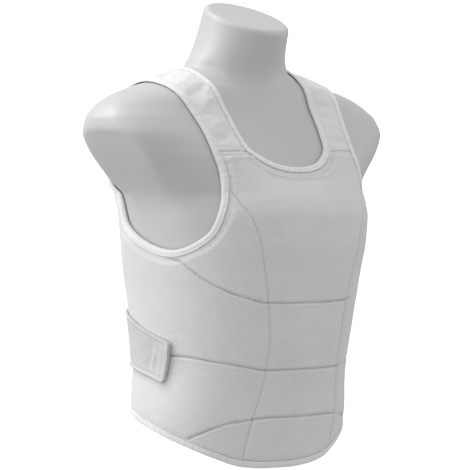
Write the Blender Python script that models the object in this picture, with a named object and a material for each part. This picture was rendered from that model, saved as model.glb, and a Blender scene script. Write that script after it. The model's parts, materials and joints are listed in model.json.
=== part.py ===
"""Padded karate chest protector worn by a plain limbless torso form.

Every cloth piece is a wall laid over one skin: the surface of the torso,
worked out from the section table below. A place on the skin is given by an
angle (0 at the front centre, + towards the wearer's left) and a height.
Lengths in the tables are millimetres, the objects are in metres.
"""

import math

import bmesh
import bpy
import numpy as np
from mathutils import Vector
from mathutils.bvhtree import BVHTree

for old in list(bpy.data.objects):
    bpy.data.objects.remove(old, do_unlink=True)

MM = 0.001

# ---- driving sizes ---------------------------------------------------------
PAD_GAP = 2.0          # clearance from the form to the padded fronts
PAD_WALL = 7.5         # foam padded wall
PRINCESS_WALL = 6.2    # wall at the stitched princess seams
CREASE_WALL = 4.0      # wall in the quilting creases
EDGE_WALL = (5.0, 2.8)   # wall where it is sewn into a binding: low, high on the chest
SIDE_SEAM_WALL = 6.4
HEM_WALL = 6.6         # wall where it is sewn into the hem
BACK_GAP = 1.9
BACK_WALL = 4.4
BACK_EDGE_WALL = 4.0
STRAP_GAP = 1.3
STRAP_WALL = 1.8
BINDING_WIDTH = 8.0
BINDING_GAP = 1.3
BINDING_PROUD = 1.0    # how far a binding stands above the cloth that it holds
BINDING_LIP = 0.8      # the same at the opening, as a share of its height at the cloth
SEAM = 0.4             # room between neighbouring pieces
BINDING_SEAM = 0.6     # room between a piece and its binding
CLOSURE_WALL = 2.6
CREASE_HALF = 6.0      # half width of a quilting crease
HEM_TUCK = 22.0        # how far above the hem the form ends
FOOT_HALF_WIDTH = 40.0
FOOT_HALF_DEPTH = 33.0
FOOT_CENTRE_Y = -16.0
FOOT_BASE = 3.4        # height of the flat base: the hem ends just above it
FOOT_HEIGHT = 16.0
NECK_CUT = (-62.0, 548.0, 0.412)     # y and height of its front, slope
ARM_CUT = (168.5, 346.0, 0.94)       # half width and height at the armpit, slope
DEPTH_SHIFT = 6.6      # moves the part so that its box is centred
HEIGHT_SHIFT = -FOOT_BASE

# ---- the torso: height, half_width, centre_y, front, back, front_exp, back_exp
TORSO = [
    (0, 147, 8, 88, 94, 2.05, 2.40),
    (40, 146, 8, 91, 96, 2.08, 2.42),
    (75, 144.5, 7, 95, 99, 2.15, 2.45),
    (100, 142, 6, 97, 101, 2.18, 2.45),
    (130, 139, 5, 102, 101, 2.22, 2.45),
    (165, 142, 5, 107, 103, 2.28, 2.42),
    (210, 148.5, 6, 112, 106, 2.35, 2.38),
    (250, 155, 8, 117, 108, 2.40, 2.40),
    (290, 161, 10, 122, 111, 2.50, 2.42),
    (318, 164, 11, 122, 112, 2.55, 2.42),
    (332, 165.5, 12, 118, 112, 2.55, 2.42),
    (346, 168.5, 12, 110, 111, 2.55, 2.40),
    (360, 187, 12, 100, 110, 2.60, 2.42),
    (380, 211, 12, 88, 107, 2.80, 2.55),
    (400, 231, 12, 76, 102, 3.20, 2.80),
    (421, 243, 12, 62.7, 94, 3.80, 3.30),
    (440, 242, 14, 51.5, 88, 3.30, 2.90),
    (455, 231, 17, 45, 84, 2.70, 2.60),
    (468, 210, 20, 42, 80, 2.25, 2.20),
    (479, 176, 23, 40, 76, 1.90, 1.93),
    (488, 138, 24, 39, 73, 1.65, 1.70),
    (496, 104, 22, 40, 70, 1.60, 1.70),
    (504, 78, 18, 42, 68, 1.80, 1.80),
    (514, 69, 13, 49, 71, 2.00, 2.00),
    (530, 62, 6, 55, 64, 2.00, 2.00),
    (550, 58.5, -1, 59, 57, 2.00, 2.00),
    (575, 57, -9, 66, 48, 2.00, 2.00),
    (605, 56, -18, 74, 38, 2.00, 2.00),
]

# ---- the cut of the garment ------------------------------------------------
# lower edge of the hem: angle, height
HEM = [
    (-180, 79), (-140, 77), (-118, 71), (-98, 57.5), (-79, 39), (-61, 19.5),
    (-46, 8), (-30, 5.2), (-10, 5), (8, 7), (27, 13), (36, 19.5), (43, 26.5),
    (50, 33.5), (58, 42), (68, 51), (80, 59), (98, 66), (125, 75), (180, 79),
]
# princess seams: height, angle on the right, angle on the left
PRINCESS = [
    (0, 46, 33.5), (34, 43.3, 35), (66, 39.2, 36.8), (98, 35, 35.2),
    (130, 31.8, 33), (165, 30.7, 31.5), (212, 32, 32.5), (254, 34, 34.3),
    (290, 36.3, 36.5), (315, 39.6, 39.6), (340, 46.8, 46.8), (375, 56, 56),
]
# quilting creases, the same on both sides: angle, height
CREASE_LOW = [(0, 68.5), (28, 69), (40, 67), (52, 64), (60, 59), (70, 46), (180, 46)]
CREASE_MID = [(0, 128.5), (32, 128.7), (48, 135), (60, 140), (79, 146.5), (180, 150)]
CREASE_TOP = [(0, 211.3), (32, 212.7), (48.5, 223.4), (62, 242), (73, 265.5), (180, 300)]
CREASE_END = 76.0      # angle where the creases run out at the sides
# side seam: height, angle
SIDE_SEAM = [(0, 128), (150, 127), (230, 124), (270, 117), (312, 107)]

# edge of the cloth along an armhole: place, x right, x left, y, height
ARMHOLE = [
    ("ridge", 143, 138, 18, 487),
    ("shoulder_front", 141, 134, -18, 477),
    ("collar", 135.5, 129, -37, 457),
    ("upper_chest", 129, 123, -54, 429),
    ("strap_seam", 125, 119, -74, 398),
    ("chest", 121.5, 121, -83, 377),
    ("princess", 122.5, 123.5, -91, 353),
    ("armpit_front", 129, 130, -95, 331),
    ("under_front", 140.5, 140.5, -84, 294.5),
    ("under", 161, 161, -39, 269),
    ("under_back", 167.5, 167.5, 9.5, 277.5),
    ("side_seam", 161.5, 161.5, 52, 306),
    ("blade_low", 156.5, 156.5, 61, 333),
    ("blade_middle", 152, 152, 72, 351),
    ("blade", 147, 147, 83, 371),
    ("blade_high", 138, 136, 92, 404),
    ("back_seam", 134, 130, 87, 434),
    ("shoulder_back", 140, 134, 65, 464),
]
# edge of the cloth along the neckline: place, x right, x left, y, height
NECKLINE = [
    ("front", 0, 0, -97, 371.5),
    ("front_curve", 26, 26, -96, 373.3),
    ("front_corner", 50, 49, -91.5, 380),
    ("strap_seam", 77.5, 75, -80, 399),
    ("collar_low", 84, 82, -66, 420),
    ("collar", 87, 84.5, -54, 440),
    ("collar_high", 92, 83.5, -41, 462),
    ("shoulder_front", 95, 84, -14, 487),
    ("ridge", 93, 83, 18, 498),
    ("shoulder_back", 91, 84, 56, 486),
    ("back_collar", 87, 83, 75, 462),
    ("back_seam", 78, 76, 89, 434),
    ("back_corner", 48, 47, 94, 418),
    ("back", 0, 0, 97, 411),
]
# closure strap, from its free end back: top angle, top height, low angle, low height
CLOSURE = [
    (82.3, 163.5, 86.3, 110.5), (90, 171.5, 92, 115.5), (98.5, 181, 98.5, 120.5),
    (106, 190, 106, 125.5), (113, 196.5, 113, 129), (124, 202, 124, 133),
    (142, 206, 142, 138),
]
# how far the inside of a closure strap stands off the form: angle, distance
CLOSURE_STANDOFF = [(60, 10.6), (118, 10.6), (127, 9.4), (133, 7.7), (150, 7.1)]


# ---- curves ----------------------------------------------------------------
def monotone(xs, ys, x):
    """Smooth interpolation through a table that never overshoots it."""
    xs, ys, x = (np.asarray(v, float) for v in (xs, ys, x))
    h = np.diff(xs)
    d = np.diff(ys) / h
    m = np.zeros_like(ys)
    m[0], m[-1] = d[0], d[-1]
    for i in range(1, len(ys) - 1):
        if d[i - 1] * d[i] > 0:
            w1, w2 = 2 * h[i] + h[i - 1], h[i] + 2 * h[i - 1]
            m[i] = (w1 + w2) / (w1 / d[i - 1] + w2 / d[i])
    i = np.clip(np.searchsorted(xs, x, side="right") - 1, 0, len(h) - 1)
    t = np.clip((x - xs[i]) / h[i], 0, 1)
    return (
        (2 * t**3 - 3 * t**2 + 1) * ys[i]
        + (t**3 - 2 * t**2 + t) * h[i] * m[i]
        + (3 * t**2 - 2 * t**3) * ys[i + 1]
        + (t**3 - t**2) * h[i] * m[i + 1]
    )


def table(rows, x, column=1):
    return monotone([r[0] for r in rows], [r[column] for r in rows], x)


def skin(phi, z):
    """Points of the torso's surface at these angles (radians) and heights."""
    phi, z = np.broadcast_arrays(np.asarray(phi, float), np.asarray(z, float))
    a, yc, yf, yb, nf, nb = (table(TORSO, z, k) for k in range(1, 7))
    s, c = np.sin(phi), np.cos(phi)
    b = np.where(c >= 0, yf + yc, yb - yc)
    n = np.where(c >= 0, nf, nb)
    r = (np.abs(s / a) ** n + np.abs(c / b) ** n) ** (-1 / n)
    return np.stack([r * s, yc - r * c, z], -1)


def outward(phi, z):
    """Unit normals of that surface."""
    du = skin(np.asarray(phi) + 1e-3, z) - skin(np.asarray(phi) - 1e-3, z)
    dz = skin(phi, np.asarray(z) + 1.0) - skin(phi, np.asarray(z) - 1.0)
    n = np.cross(du, dz)
    return n / np.linalg.norm(n, axis=-1, keepdims=True)


def lift(phi, z, off):
    return skin(phi, z) + outward(phi, z) * np.asarray(off, float)[..., None]


def skin_tree():
    angles = np.linspace(-math.pi, math.pi, 241)[:-1]
    heights = np.arange(60.0, 520.0, 3.0)
    grid = skin(angles[None, :], heights[:, None])
    k = len(angles)
    quads = [
        (r * k + c, r * k + (c + 1) % k, (r + 1) * k + (c + 1) % k, (r + 1) * k + c)
        for r in range(len(heights) - 1)
        for c in range(k)
    ]
    return BVHTree.FromPolygons([tuple(p) for p in grid.reshape(-1, 3)], quads)


TREE = skin_tree()


def on_skin(points):
    """Angle and height of the places on the skin nearest to these points."""
    near = np.array([TREE.find_nearest(Vector(p))[0][:] for p in points])
    yc = table(TORSO, near[:, 2], 2)
    return np.arctan2(near[:, 0], yc - near[:, 1]), near[:, 2]


def closed_curve(stations, per_span=16):
    """Smooth closed curve through the stations, and where each one is on it."""
    p = np.array(stations, float)
    n = len(p)
    out = []
    for i in range(n):
        p0, p1, p2, p3 = (p[(i + k - 1) % n] for k in range(4))
        knots = [0.0]
        for a, b in ((p0, p1), (p1, p2), (p2, p3)):
            knots.append(knots[-1] + math.sqrt(np.linalg.norm(b - a)))
        k0, k1, k2, k3 = knots
        for t in np.linspace(k1, k2, per_span, endpoint=False):
            a1 = p0 * (k1 - t) / (k1 - k0) + p1 * (t - k0) / (k1 - k0)
            a2 = p1 * (k2 - t) / (k2 - k1) + p2 * (t - k1) / (k2 - k1)
            a3 = p2 * (k3 - t) / (k3 - k2) + p3 * (t - k2) / (k3 - k2)
            b1 = a1 * (k2 - t) / (k2 - k0) + a2 * (t - k0) / (k2 - k0)
            b2 = a2 * (k3 - t) / (k3 - k1) + a3 * (t - k1) / (k3 - k1)
            out.append(b1 * (k2 - t) / (k2 - k1) + b2 * (t - k1) / (k2 - k1))
    return np.array(out), {i: i * per_span for i in range(n)}


class Loop:
    """A closed line on the skin with named stations."""

    def __init__(self, names, stations):
        self.points, at = closed_curve(stations)
        self.at = {name: at[i] for i, name in enumerate(names)}

    def stretch(self, start, end, pieces):
        """pieces + 1 evenly spaced places from one station on to another."""
        i, j = self.at[start], self.at[end]
        if j <= i:
            j += len(self.points)
        run = self.points[np.arange(i, j + 1) % len(self.points)]
        along = np.concatenate([[0], np.cumsum(np.linalg.norm(np.diff(run, axis=0), axis=1))])
        where = np.linspace(0, along[-1], pieces + 1)
        even = np.stack([np.interp(where, along, run[:, k]) for k in range(3)], -1)
        phi, z = on_skin(even)
        return np.stack([phi, z], -1)


def armhole_loop(side):
    column = 1 if side < 0 else 2
    return Loop([r[0] for r in ARMHOLE], [(side * r[column], r[3], r[4]) for r in ARMHOLE])


def neck_loop():
    right = [(r[0] + "_right", -r[1], r[3], r[4]) for r in NECKLINE]
    left = [(r[0] + "_left", r[2], r[3], r[4]) for r in NECKLINE[1:-1]]
    rows = right + left[::-1]
    return Loop([r[0] for r in rows], [r[1:] for r in rows])


# ---- solids ----------------------------------------------------------------
def solid(name, vertices, faces, colour, roughness):
    mesh = bpy.data.meshes.new(name)
    moved = (np.asarray(vertices, float) + (0, DEPTH_SHIFT, HEIGHT_SHIFT)) * MM
    mesh.from_pydata([tuple(v) for v in moved], [], faces)
    work = bmesh.new()
    work.from_mesh(mesh)
    bmesh.ops.recalc_face_normals(work, faces=work.faces)
    work.to_mesh(mesh)
    work.free()
    obj = bpy.data.objects.new(name, mesh)
    bpy.context.scene.collection.objects.link(obj)
    material = bpy.data.materials.new(name + "_finish")
    material.use_nodes = True
    surface = material.node_tree.nodes["Principled BSDF"]
    surface.inputs["Base Color"].default_value = (*colour, 1)
    surface.inputs["Roughness"].default_value = roughness
    surface.inputs["Metallic"].default_value = 0.0
    mesh.materials.append(material)
    mesh.shade_smooth()
    mesh.set_sharp_from_angle(angle=math.radians(35))
    return obj


def wall(name, places, inner, outer, colour=(0.82, 0.82, 0.83), roughness=0.85):
    """A cloth wall over a grid of places (rows, columns, angle and height)."""
    rows, columns = places.shape[:2]
    inside = lift(places[..., 0], places[..., 1], np.broadcast_to(inner, (rows, columns)))
    outside = lift(places[..., 0], places[..., 1], np.broadcast_to(outer, (rows, columns)))
    size = rows * columns

    def v(r, c, layer):
        return layer * size + r * columns + c

    faces = []
    for r in range(rows - 1):
        for c in range(columns - 1):
            faces.append((v(r, c, 1), v(r, c + 1, 1), v(r + 1, c + 1, 1), v(r + 1, c, 1)))
            faces.append((v(r, c, 0), v(r + 1, c, 0), v(r + 1, c + 1, 0), v(r, c + 1, 0)))
    for r in range(rows - 1):
        for c in (0, columns - 1):
            faces.append((v(r, c, 0), v(r + 1, c, 0), v(r + 1, c, 1), v(r, c, 1)))
    for c in range(columns - 1):
        for r in (0, rows - 1):
            faces.append((v(r, c, 0), v(r, c + 1, 0), v(r, c + 1, 1), v(r, c, 1)))
    points = np.concatenate([inside.reshape(-1, 3), outside.reshape(-1, 3)])
    return solid(name, points, faces, colour, roughness)


def ring(name, sections, colour=(0.80, 0.80, 0.81), roughness=0.8):
    """A closed tube through sections (count, corners, xyz)."""
    count, corners = sections.shape[:2]
    faces = [
        (
            i * corners + k,
            i * corners + (k + 1) % corners,
            ((i + 1) % count) * corners + (k + 1) % corners,
            ((i + 1) % count) * corners + k,
        )
        for i in range(count)
        for k in range(corners)
    ]
    return solid(name, sections.reshape(-1, 3), faces, colour, roughness)


def binding(name, places, held, towards):
    """A folded edge strip along a closed line, on the side of the point towards.

    held is how far the outside of the cloth in it is from the form."""
    on = skin(places[:, 0], places[:, 1])
    normal = outward(places[:, 0], places[:, 1])
    along = np.roll(on, -1, axis=0) - np.roll(on, 1, axis=0)
    across = np.cross(normal, along)
    across /= np.linalg.norm(across, axis=1, keepdims=True)
    if (across * (np.asarray(towards) - on)).sum() < 0:
        across = -across
    near = np.stack(on_skin(on + BINDING_SEAM * across), -1)
    far = np.stack(on_skin(on + (BINDING_SEAM + BINDING_WIDTH) * across), -1)
    corners = [
        lift(line[:, 0], line[:, 1], np.broadcast_to(off, len(line)))
        for line, off in (
            (near, BINDING_GAP),
            (near, np.asarray(held) + BINDING_PROUD),
            (far, (np.asarray(held) + BINDING_PROUD) * BINDING_LIP),
            (far, BINDING_GAP),
        )
    ]
    return ring(name, np.stack(corners, 1))


# ---- the panels' grids -----------------------------------------------------
ARM = {-1: armhole_loop(-1), 1: armhole_loop(1)}
NECK = neck_loop()
SIDE = {-1: "right", 1: "left"}
STRAP_PIECES, STRAP_ACROSS = 22, 4
NECK_FRONT_PIECES, NECK_BACK_PIECES = 8, 6
SIDE_TOP_PIECES = 12
YOKE_ROWS = 3
BLADE_ROWS = 11


def hem_height(phi):
    wrapped = (np.degrees(phi) + 180) % 360 - 180
    return table(HEM, wrapped)


def princess_angle(z, side):
    return side * np.radians(table(PRINCESS, z, 1 if side < 0 else 2))


def side_seam_angle(z, side):
    return side * np.radians(table(SIDE_SEAM, z))


def crease(rows, phi):
    wrapped = np.abs((np.degrees(phi) + 180) % 360 - 180)
    return table(rows, wrapped)


def column_heights(angle_at, top):
    """Heights of one column's rows, from the hem binding up to the top.

    The first 18 rows are laid out about the three creases, so that they meet
    those of the next panel."""
    def settle(guess, height_of):
        z = guess
        for _ in range(6):
            z = float(height_of(angle_at(z)))
        return z

    low = settle(30.0, lambda a: hem_height(a) + BINDING_WIDTH + SEAM)
    c1 = max(settle(68.0, lambda a: crease(CREASE_LOW, a)), low + CREASE_HALF + 1.5)
    c2 = settle(130.0, lambda a: crease(CREASE_MID, a))
    c3 = min(settle(212.0, lambda a: crease(CREASE_TOP, a)), top - CREASE_HALF - 3.0)
    h = CREASE_HALF
    spans = [
        (low, c1 - h, 2), (c1 - h, c1, 1), (c1, c1 + h, 1), (c1 + h, c2 - h, 2),
        (c2 - h, c2, 1), (c2, c2 + h, 1), (c2 + h, c3 - h, 3), (c3 - h, c3, 1),
        (c3, c3 + h, 1), (c3 + h, top, 5),
    ]
    heights = [low]
    for a, b, n in spans:
        heights += list(np.linspace(a, b, n + 1)[1:])
    return np.array(heights)


CREASE_ROWS = (3, 7, 12)   # rows of the grid that lie in the creases


def column(angle_at, top):
    z = column_heights(angle_at, top)
    return np.stack([np.array([float(angle_at(h)) for h in z]), z], -1)


def between(first, second, share):
    return lambda z: first(z) + (second(z) - first(z)) * share


def edge_wall(z):
    low, high = EDGE_WALL
    return low + (high - low) * np.clip((np.asarray(z) - 345) / 50, 0, 1)


def wall_depths(places, left, right, top, bottom=HEM_WALL, creases=True):
    """Wall thickness over a grid: thin where it is sewn in, full in between."""
    rows, columns = places.shape[:2]
    depth = np.full((rows, columns), PAD_WALL)
    if creases:
        for r, rows_of in zip(CREASE_ROWS, (CREASE_LOW, CREASE_MID, CREASE_TOP)):
            away = np.degrees(np.abs(places[r, :, 0]))
            missed = np.abs(places[r, :, 1] - crease(rows_of, places[r, :, 0]))
            fade = np.clip((CREASE_END - away) / 8.0, 0, 1) * np.clip(1.5 - missed / 4, 0, 1)
            depth[r] -= (PAD_WALL - CREASE_WALL) * fade
    depth[:, 0] = np.minimum(depth[:, 0], left)
    depth[:, -1] = np.minimum(depth[:, -1], right)
    depth[0] = np.minimum(depth[0], bottom)
    depth[-1] = np.minimum(depth[-1], top)
    return depth


def strap_grid(side):
    """Grid of a shoulder strap, from the front seam over the shoulder."""
    tag = SIDE[side]
    outer = ARM[side].stretch("back_seam", "strap_seam", STRAP_PIECES)[::-1]
    if side < 0:
        inner = NECK.stretch("strap_seam_right", "back_seam_right", STRAP_PIECES)
    else:
        inner = NECK.stretch("back_seam_left", "strap_seam_left", STRAP_PIECES)[::-1]
    a, b = skin(outer[:, 0], outer[:, 1]), skin(inner[:, 0], inner[:, 1])
    lines = [outer]
    for k in range(1, STRAP_ACROSS):
        lines.append(np.stack(on_skin(a + (b - a) * k / STRAP_ACROSS), -1))
    lines.append(inner)
    return np.stack(lines, 1), tag


def front_grid():
    """Centre front: columns hang from the strap seams and the neckline."""
    arm_top = {s: ARM[s].stretch("strap_seam", "princess", YOKE_ROWS)[::-1] for s in (-1, 1)}
    meet = {s: arm_top[s][0, 1] for s in (-1, 1)}

    def edge(side):
        def at(z):
            if z <= meet[side]:
                return float(princess_angle(z, side)) * share[side]
            line = arm_top[side]
            return float(np.interp(z, line[:, 1], line[:, 0]))
        return at

    share = {
        s: float(arm_top[s][0, 0] / princess_angle(meet[s], s)) for s in (-1, 1)
    }
    strap = {s: strap_grid(s)[0][0] for s in (-1, 1)}
    tops = list(strap[-1])
    right_neck = NECK.stretch("front_right", "strap_seam_right", NECK_FRONT_PIECES // 2)[::-1]
    left_neck = NECK.stretch("strap_seam_left", "front_right", NECK_FRONT_PIECES // 2)[::-1]
    tops += list(right_neck[1:])
    tops += list(left_neck[1:])
    tops += list(strap[1][::-1][1:])
    columns = []
    left, right = edge(1), edge(-1)
    for angle, height in tops:
        u = (angle - right(height)) / (left(height) - right(height))
        u = min(max(u, 0.0), 1.0)
        path = between(right, left, u)
        knee = meet[-1] * (1 - u) + meet[1] * u
        knee = min(knee, height - 12.0)
        lower = column(path, knee)
        z = np.linspace(knee, height, YOKE_ROWS + 1)[1:]
        if u in (0.0, 1.0):
            line = arm_top[-1 if u == 0.0 else 1][1:]
            upper = line.copy()
        else:
            upper = np.stack([np.array([float(path(h)) for h in z]), z], -1)
            upper[-1] = (angle, height)
        columns.append(np.concatenate([lower, upper]))
    return np.stack(columns, 1)


def side_grid(side):
    """Side front: from the princess seam round to the side seam."""
    line = ARM[side].stretch("princess", "side_seam", SIDE_TOP_PIECES)
    share_front = float(line[0, 0] / princess_angle(line[0, 1], side))
    share_back = float(line[-1, 0] / side_seam_angle(line[-1, 1], side))

    def front(z):
        return float(princess_angle(z, side)) * share_front

    def back(z):
        return float(side_seam_angle(z, side)) * share_back

    columns = []
    for angle, height in line:
        w = (angle - front(height)) / (back(height) - front(height))
        w = min(max(w, 0.0), 1.0)
        c = column(between(front, back, w), height)
        c[-1] = (angle, height)
        columns.append(c)
    return np.stack(columns, 1)


def back_grid():
    """Back: between the side seams, up to the strap seams and the neckline."""
    rear = {}
    for s in (-1, 1):
        line = ARM[s].stretch("side_seam", "back_seam", BLADE_ROWS).copy()
        line[:, 0] %= 2 * math.pi
        rear[s] = line

    def edge(side):
        line = rear[side]
        share = float(
            ((line[0, 0] + math.pi) % (2 * math.pi) - math.pi)
            / side_seam_angle(line[0, 1], side)
        )

        def at(z):
            if z <= line[0, 1]:
                return (float(side_seam_angle(z, side)) * share) % (2 * math.pi)
            return float(np.interp(z, line[:, 1], line[:, 0]))
        return at

    strap = {s: strap_grid(s)[0][-1].copy() for s in (-1, 1)}
    right_neck = NECK.stretch("back_seam_right", "back_right", NECK_BACK_PIECES // 2)
    left_neck = NECK.stretch("back_right", "back_seam_left", NECK_BACK_PIECES // 2)
    tops = list(strap[-1]) + list(right_neck[1:]) + list(left_neck[1:]) + list(strap[1][::-1][1:])
    first, second = edge(-1), edge(1)
    columns = []
    for angle, height in tops:
        angle %= 2 * math.pi
        u = (angle - first(height)) / (second(height) - first(height))
        u = min(max(u, 0.0), 1.0)
        path = between(first, second, u)
        knee = rear[-1][0, 1] * (1 - u) + rear[1][0, 1] * u
        lower = column(path, knee)
        if u in (0.0, 1.0):
            upper = rear[-1 if u == 0.0 else 1][1:]
        else:
            z = np.linspace(knee, height, BLADE_ROWS + 1)[1:]
            upper = np.stack([np.array([float(path(h)) for h in z]), z], -1)
            upper[-1] = (angle, height)
        columns.append(np.concatenate([lower, upper]))
    return np.stack(columns, 1)


def nudge(grid, column_index, angle_sign, amount=SEAM / 2):
    """Moves one side column of a grid sideways, to leave room at a seam."""
    moved = grid.copy()
    on = skin(moved[:, column_index, 0], moved[:, column_index, 1])
    radius = np.hypot(on[:, 0], on[:, 1])
    moved[:, column_index, 0] += angle_sign * amount / radius
    return moved


# ---- the torso form --------------------------------------------------------
def torso_form():
    """Smooth torso with cut shoulders and neck, drawn in under the hem to a foot."""
    count = 60
    angles = np.linspace(0, 2 * math.pi, count, endpoint=False)
    low = hem_height(angles) + HEM_TUCK
    foot = np.stack(
        [FOOT_HALF_WIDTH * np.sin(angles), FOOT_CENTRE_Y - FOOT_HALF_DEPTH * np.cos(angles)], -1
    )

    def underside(scale, drop, mix):
        edge = skin(angles, low)
        centre = np.array([0.0, FOOT_CENTRE_Y])
        flat = centre + (edge[:, :2] - centre) * scale
        flat = flat * (1 - mix) + foot * mix
        z = (low - drop) * (1 - mix) + FOOT_HEIGHT * mix
        return np.column_stack([flat, z])

    rings = [
        np.column_stack([foot * 0.97 + (0, 0.03 * FOOT_CENTRE_Y), np.full(count, FOOT_BASE)]),
        np.column_stack([foot, np.full(count, FOOT_BASE + 2.0)]),
        np.column_stack([foot, np.full(count, FOOT_HEIGHT)]),
        underside(0.82, 13.0, 0.6),
        underside(0.82, 13.0, 0.25),
        underside(0.86, 12.5, 0.0),
        underside(0.94, 9.0, 0.0),
        underside(0.985, 4.0, 0.0),
    ]
    for share in (0.0, 0.25, 0.5, 0.75):
        rings.append(skin(angles, low + (128.0 - low) * share))
    heights = (
        128, 148, 170, 194, 218, 242, 266, 290, 310, 325, 335, 343, 351, 360, 369, 378,
        388, 402, 416, 430, 443, 454, 463, 471, 478, 484, 489, 494, 499, 505, 513, 523, 537, 555, 578, 604,
    )
    rings += [skin(angles, np.full(count, float(h))) for h in heights]
    points = np.concatenate(rings)
    total = len(rings)
    faces = [
        (
            r * count + k,
            r * count + (k + 1) % count,
            (r + 1) * count + (k + 1) % count,
            (r + 1) * count + k,
        )
        for r in range(total - 1)
        for k in range(count)
    ]
    faces.append(tuple(range(count)))
    faces.append(tuple((total - 1) * count + k for k in range(count)))
    form = solid("torso_form", points, faces, (0.78, 0.78, 0.79), 0.3)

    def prism(corners, half):
        n = len(corners)
        pts = [(c[0], c[1], sign * half) for sign in (-1, 1) for c in corners]
        fs = [tuple(range(n)), tuple(range(2 * n - 1, n - 1, -1))]
        fs += [(k, (k + 1) % n, n + (k + 1) % n, n + k) for k in range(n)]
        return pts, fs

    x0, z0, slope = ARM_CUT
    cutters = []
    for side in (-1, 1):
        bottom, top = z0 + 1.0, 475.0
        pts, fs = prism(
            [(x0 + slope * (bottom - z0), bottom), (x0 + slope * (top - z0), top), (420, top), (420, bottom)],
            200.0,
        )
        pts = [(side * p[0], p[2], p[1]) for p in pts]
        cutters.append(solid("arm_cutter_" + SIDE[side], pts, fs, (0.5, 0.5, 0.5), 0.5))
    y0, z0, slope = NECK_CUT
    pts, fs = prism(
        [(y0 - 60, z0 - 60 * slope), (y0 + 240, z0 + 240 * slope), (y0 + 240, 760), (y0 - 60, 760)],
        120.0,
    )
    pts = [(p[2], p[0], p[1]) for p in pts]
    cutters.append(solid("neck_cutter", pts, fs, (0.5, 0.5, 0.5), 0.5))
    for tool in cutters:
        tool.hide_render = True
        tool.display_type = "WIRE"
        cut = form.modifiers.new(tool.name, "BOOLEAN")
        cut.operation = "DIFFERENCE"
        cut.solver = "EXACT"
        cut.object = tool
    return form


# ---- build -----------------------------------------------------------------
torso_form()

front = front_grid()
sides = {s: side_grid(s) for s in (-1, 1)}
back = back_grid()

# the grids meet at the princess and side seams
placed = nudge(nudge(front, 0, 1), -1, -1)
depths = wall_depths(placed, PRINCESS_WALL, PRINCESS_WALL, edge_wall(placed[-1, :, 1]))
yoke = slice(-YOKE_ROWS - 1, None)
for edge in (0, -1):
    depths[yoke, edge] = edge_wall(placed[yoke, edge, 1])
depths[-2] = np.minimum(depths[-2], 5.6)
wall("front_center", placed, PAD_GAP, PAD_GAP + depths)
front_held = PAD_GAP + depths

side_held = {}
for s in (-1, 1):
    grid = nudge(nudge(sides[s], 0, s), -1, -s)
    depths = wall_depths(grid, PRINCESS_WALL, SIDE_SEAM_WALL, edge_wall(grid[-1, :, 1]))
    wall("front_side_" + SIDE[s], grid, PAD_GAP, PAD_GAP + depths)
    side_held[s] = PAD_GAP + depths

grid = nudge(nudge(back, 0, -1), -1, 1)
depths = np.full(grid.shape[:2], BACK_WALL)
depths[-BLADE_ROWS:, 0] = depths[-BLADE_ROWS:, -1] = BACK_EDGE_WALL
depths[-1] = STRAP_WALL + 0.4
depths[-2] = np.minimum(depths[-2], 3.4)
wall("back_panel", grid, BACK_GAP, BACK_GAP + depths, colour=(0.80, 0.80, 0.81))
back_held = BACK_GAP + depths

straps = {}
for s in (-1, 1):
    places, tag = strap_grid(s)
    straps[s] = places
    grid = places.copy()
    for row in (0, -1):
        grid[row, :, 1] += SEAM
    wall("strap_" + tag, grid, STRAP_GAP, STRAP_GAP + STRAP_WALL, colour=(0.84, 0.84, 0.85))

# bindings run along the edges of the pieces they hold
for s in (-1, 1):
    edge = 0 if s < 0 else -1
    line = list(straps[s][::-1, 0])                       # back seam to front seam
    line += list(front[::-1, edge][1 : YOKE_ROWS + 1])    # down the yoke
    line += list(sides[s][-1, 1:])                        # under the arm
    line += list(back[-BLADE_ROWS:-1, edge])              # up the back
    held = [STRAP_GAP + STRAP_WALL] * len(straps[s])
    held += list(front_held[::-1, edge][1 : YOKE_ROWS + 1])
    held += list(side_held[s][-1, 1:])
    held += list(back_held[-BLADE_ROWS:-1, edge])
    binding("armhole_binding_" + SIDE[s], np.array(line), held, (s * 170.0, 10.0, 380.0))

line = list(straps[-1][::-1, -1][:-1])                    # right strap, back to front
line += list(front[-1, STRAP_ACROSS : -STRAP_ACROSS - 1])
line += list(straps[1][:-1, -1])
line += list(back[-1, ::-1][STRAP_ACROSS : -STRAP_ACROSS - 1])
held = [STRAP_GAP + STRAP_WALL] * (len(straps[-1]) - 1)
held += list(front_held[-1, STRAP_ACROSS : -STRAP_ACROSS - 1])
held += [STRAP_GAP + STRAP_WALL] * (len(straps[1]) - 1)
held += list(back_held[-1, ::-1][STRAP_ACROSS : -STRAP_ACROSS - 1])
binding("neck_binding", np.array(line), held, (0.0, 5.0, 520.0))

bottom = [front[0, :-1], sides[1][0, :-1], back[0, ::-1][:-1], sides[-1][0, ::-1][:-1]]
bottom = np.concatenate(bottom)
from_front = np.abs((bottom[:, 0] + math.pi) % (2 * math.pi) - math.pi)
hem_held = np.where(
    from_front < math.radians(127.5), PAD_GAP + HEM_WALL, BACK_GAP + BACK_WALL
)
upper = bottom[:, 1] - SEAM
lower = upper - BINDING_WIDTH
hem_sections = np.stack(
    [
        lift(bottom[:, 0], upper, np.full(len(bottom), PAD_GAP - 0.5)),
        lift(bottom[:, 0], upper, hem_held + 0.8),
        lift(bottom[:, 0], lower, hem_held + 0.3),
        lift(bottom[:, 0], lower, np.full(len(bottom), PAD_GAP - 0.5)),
    ],
    1,
)
ring("hem_binding", hem_sections)

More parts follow.
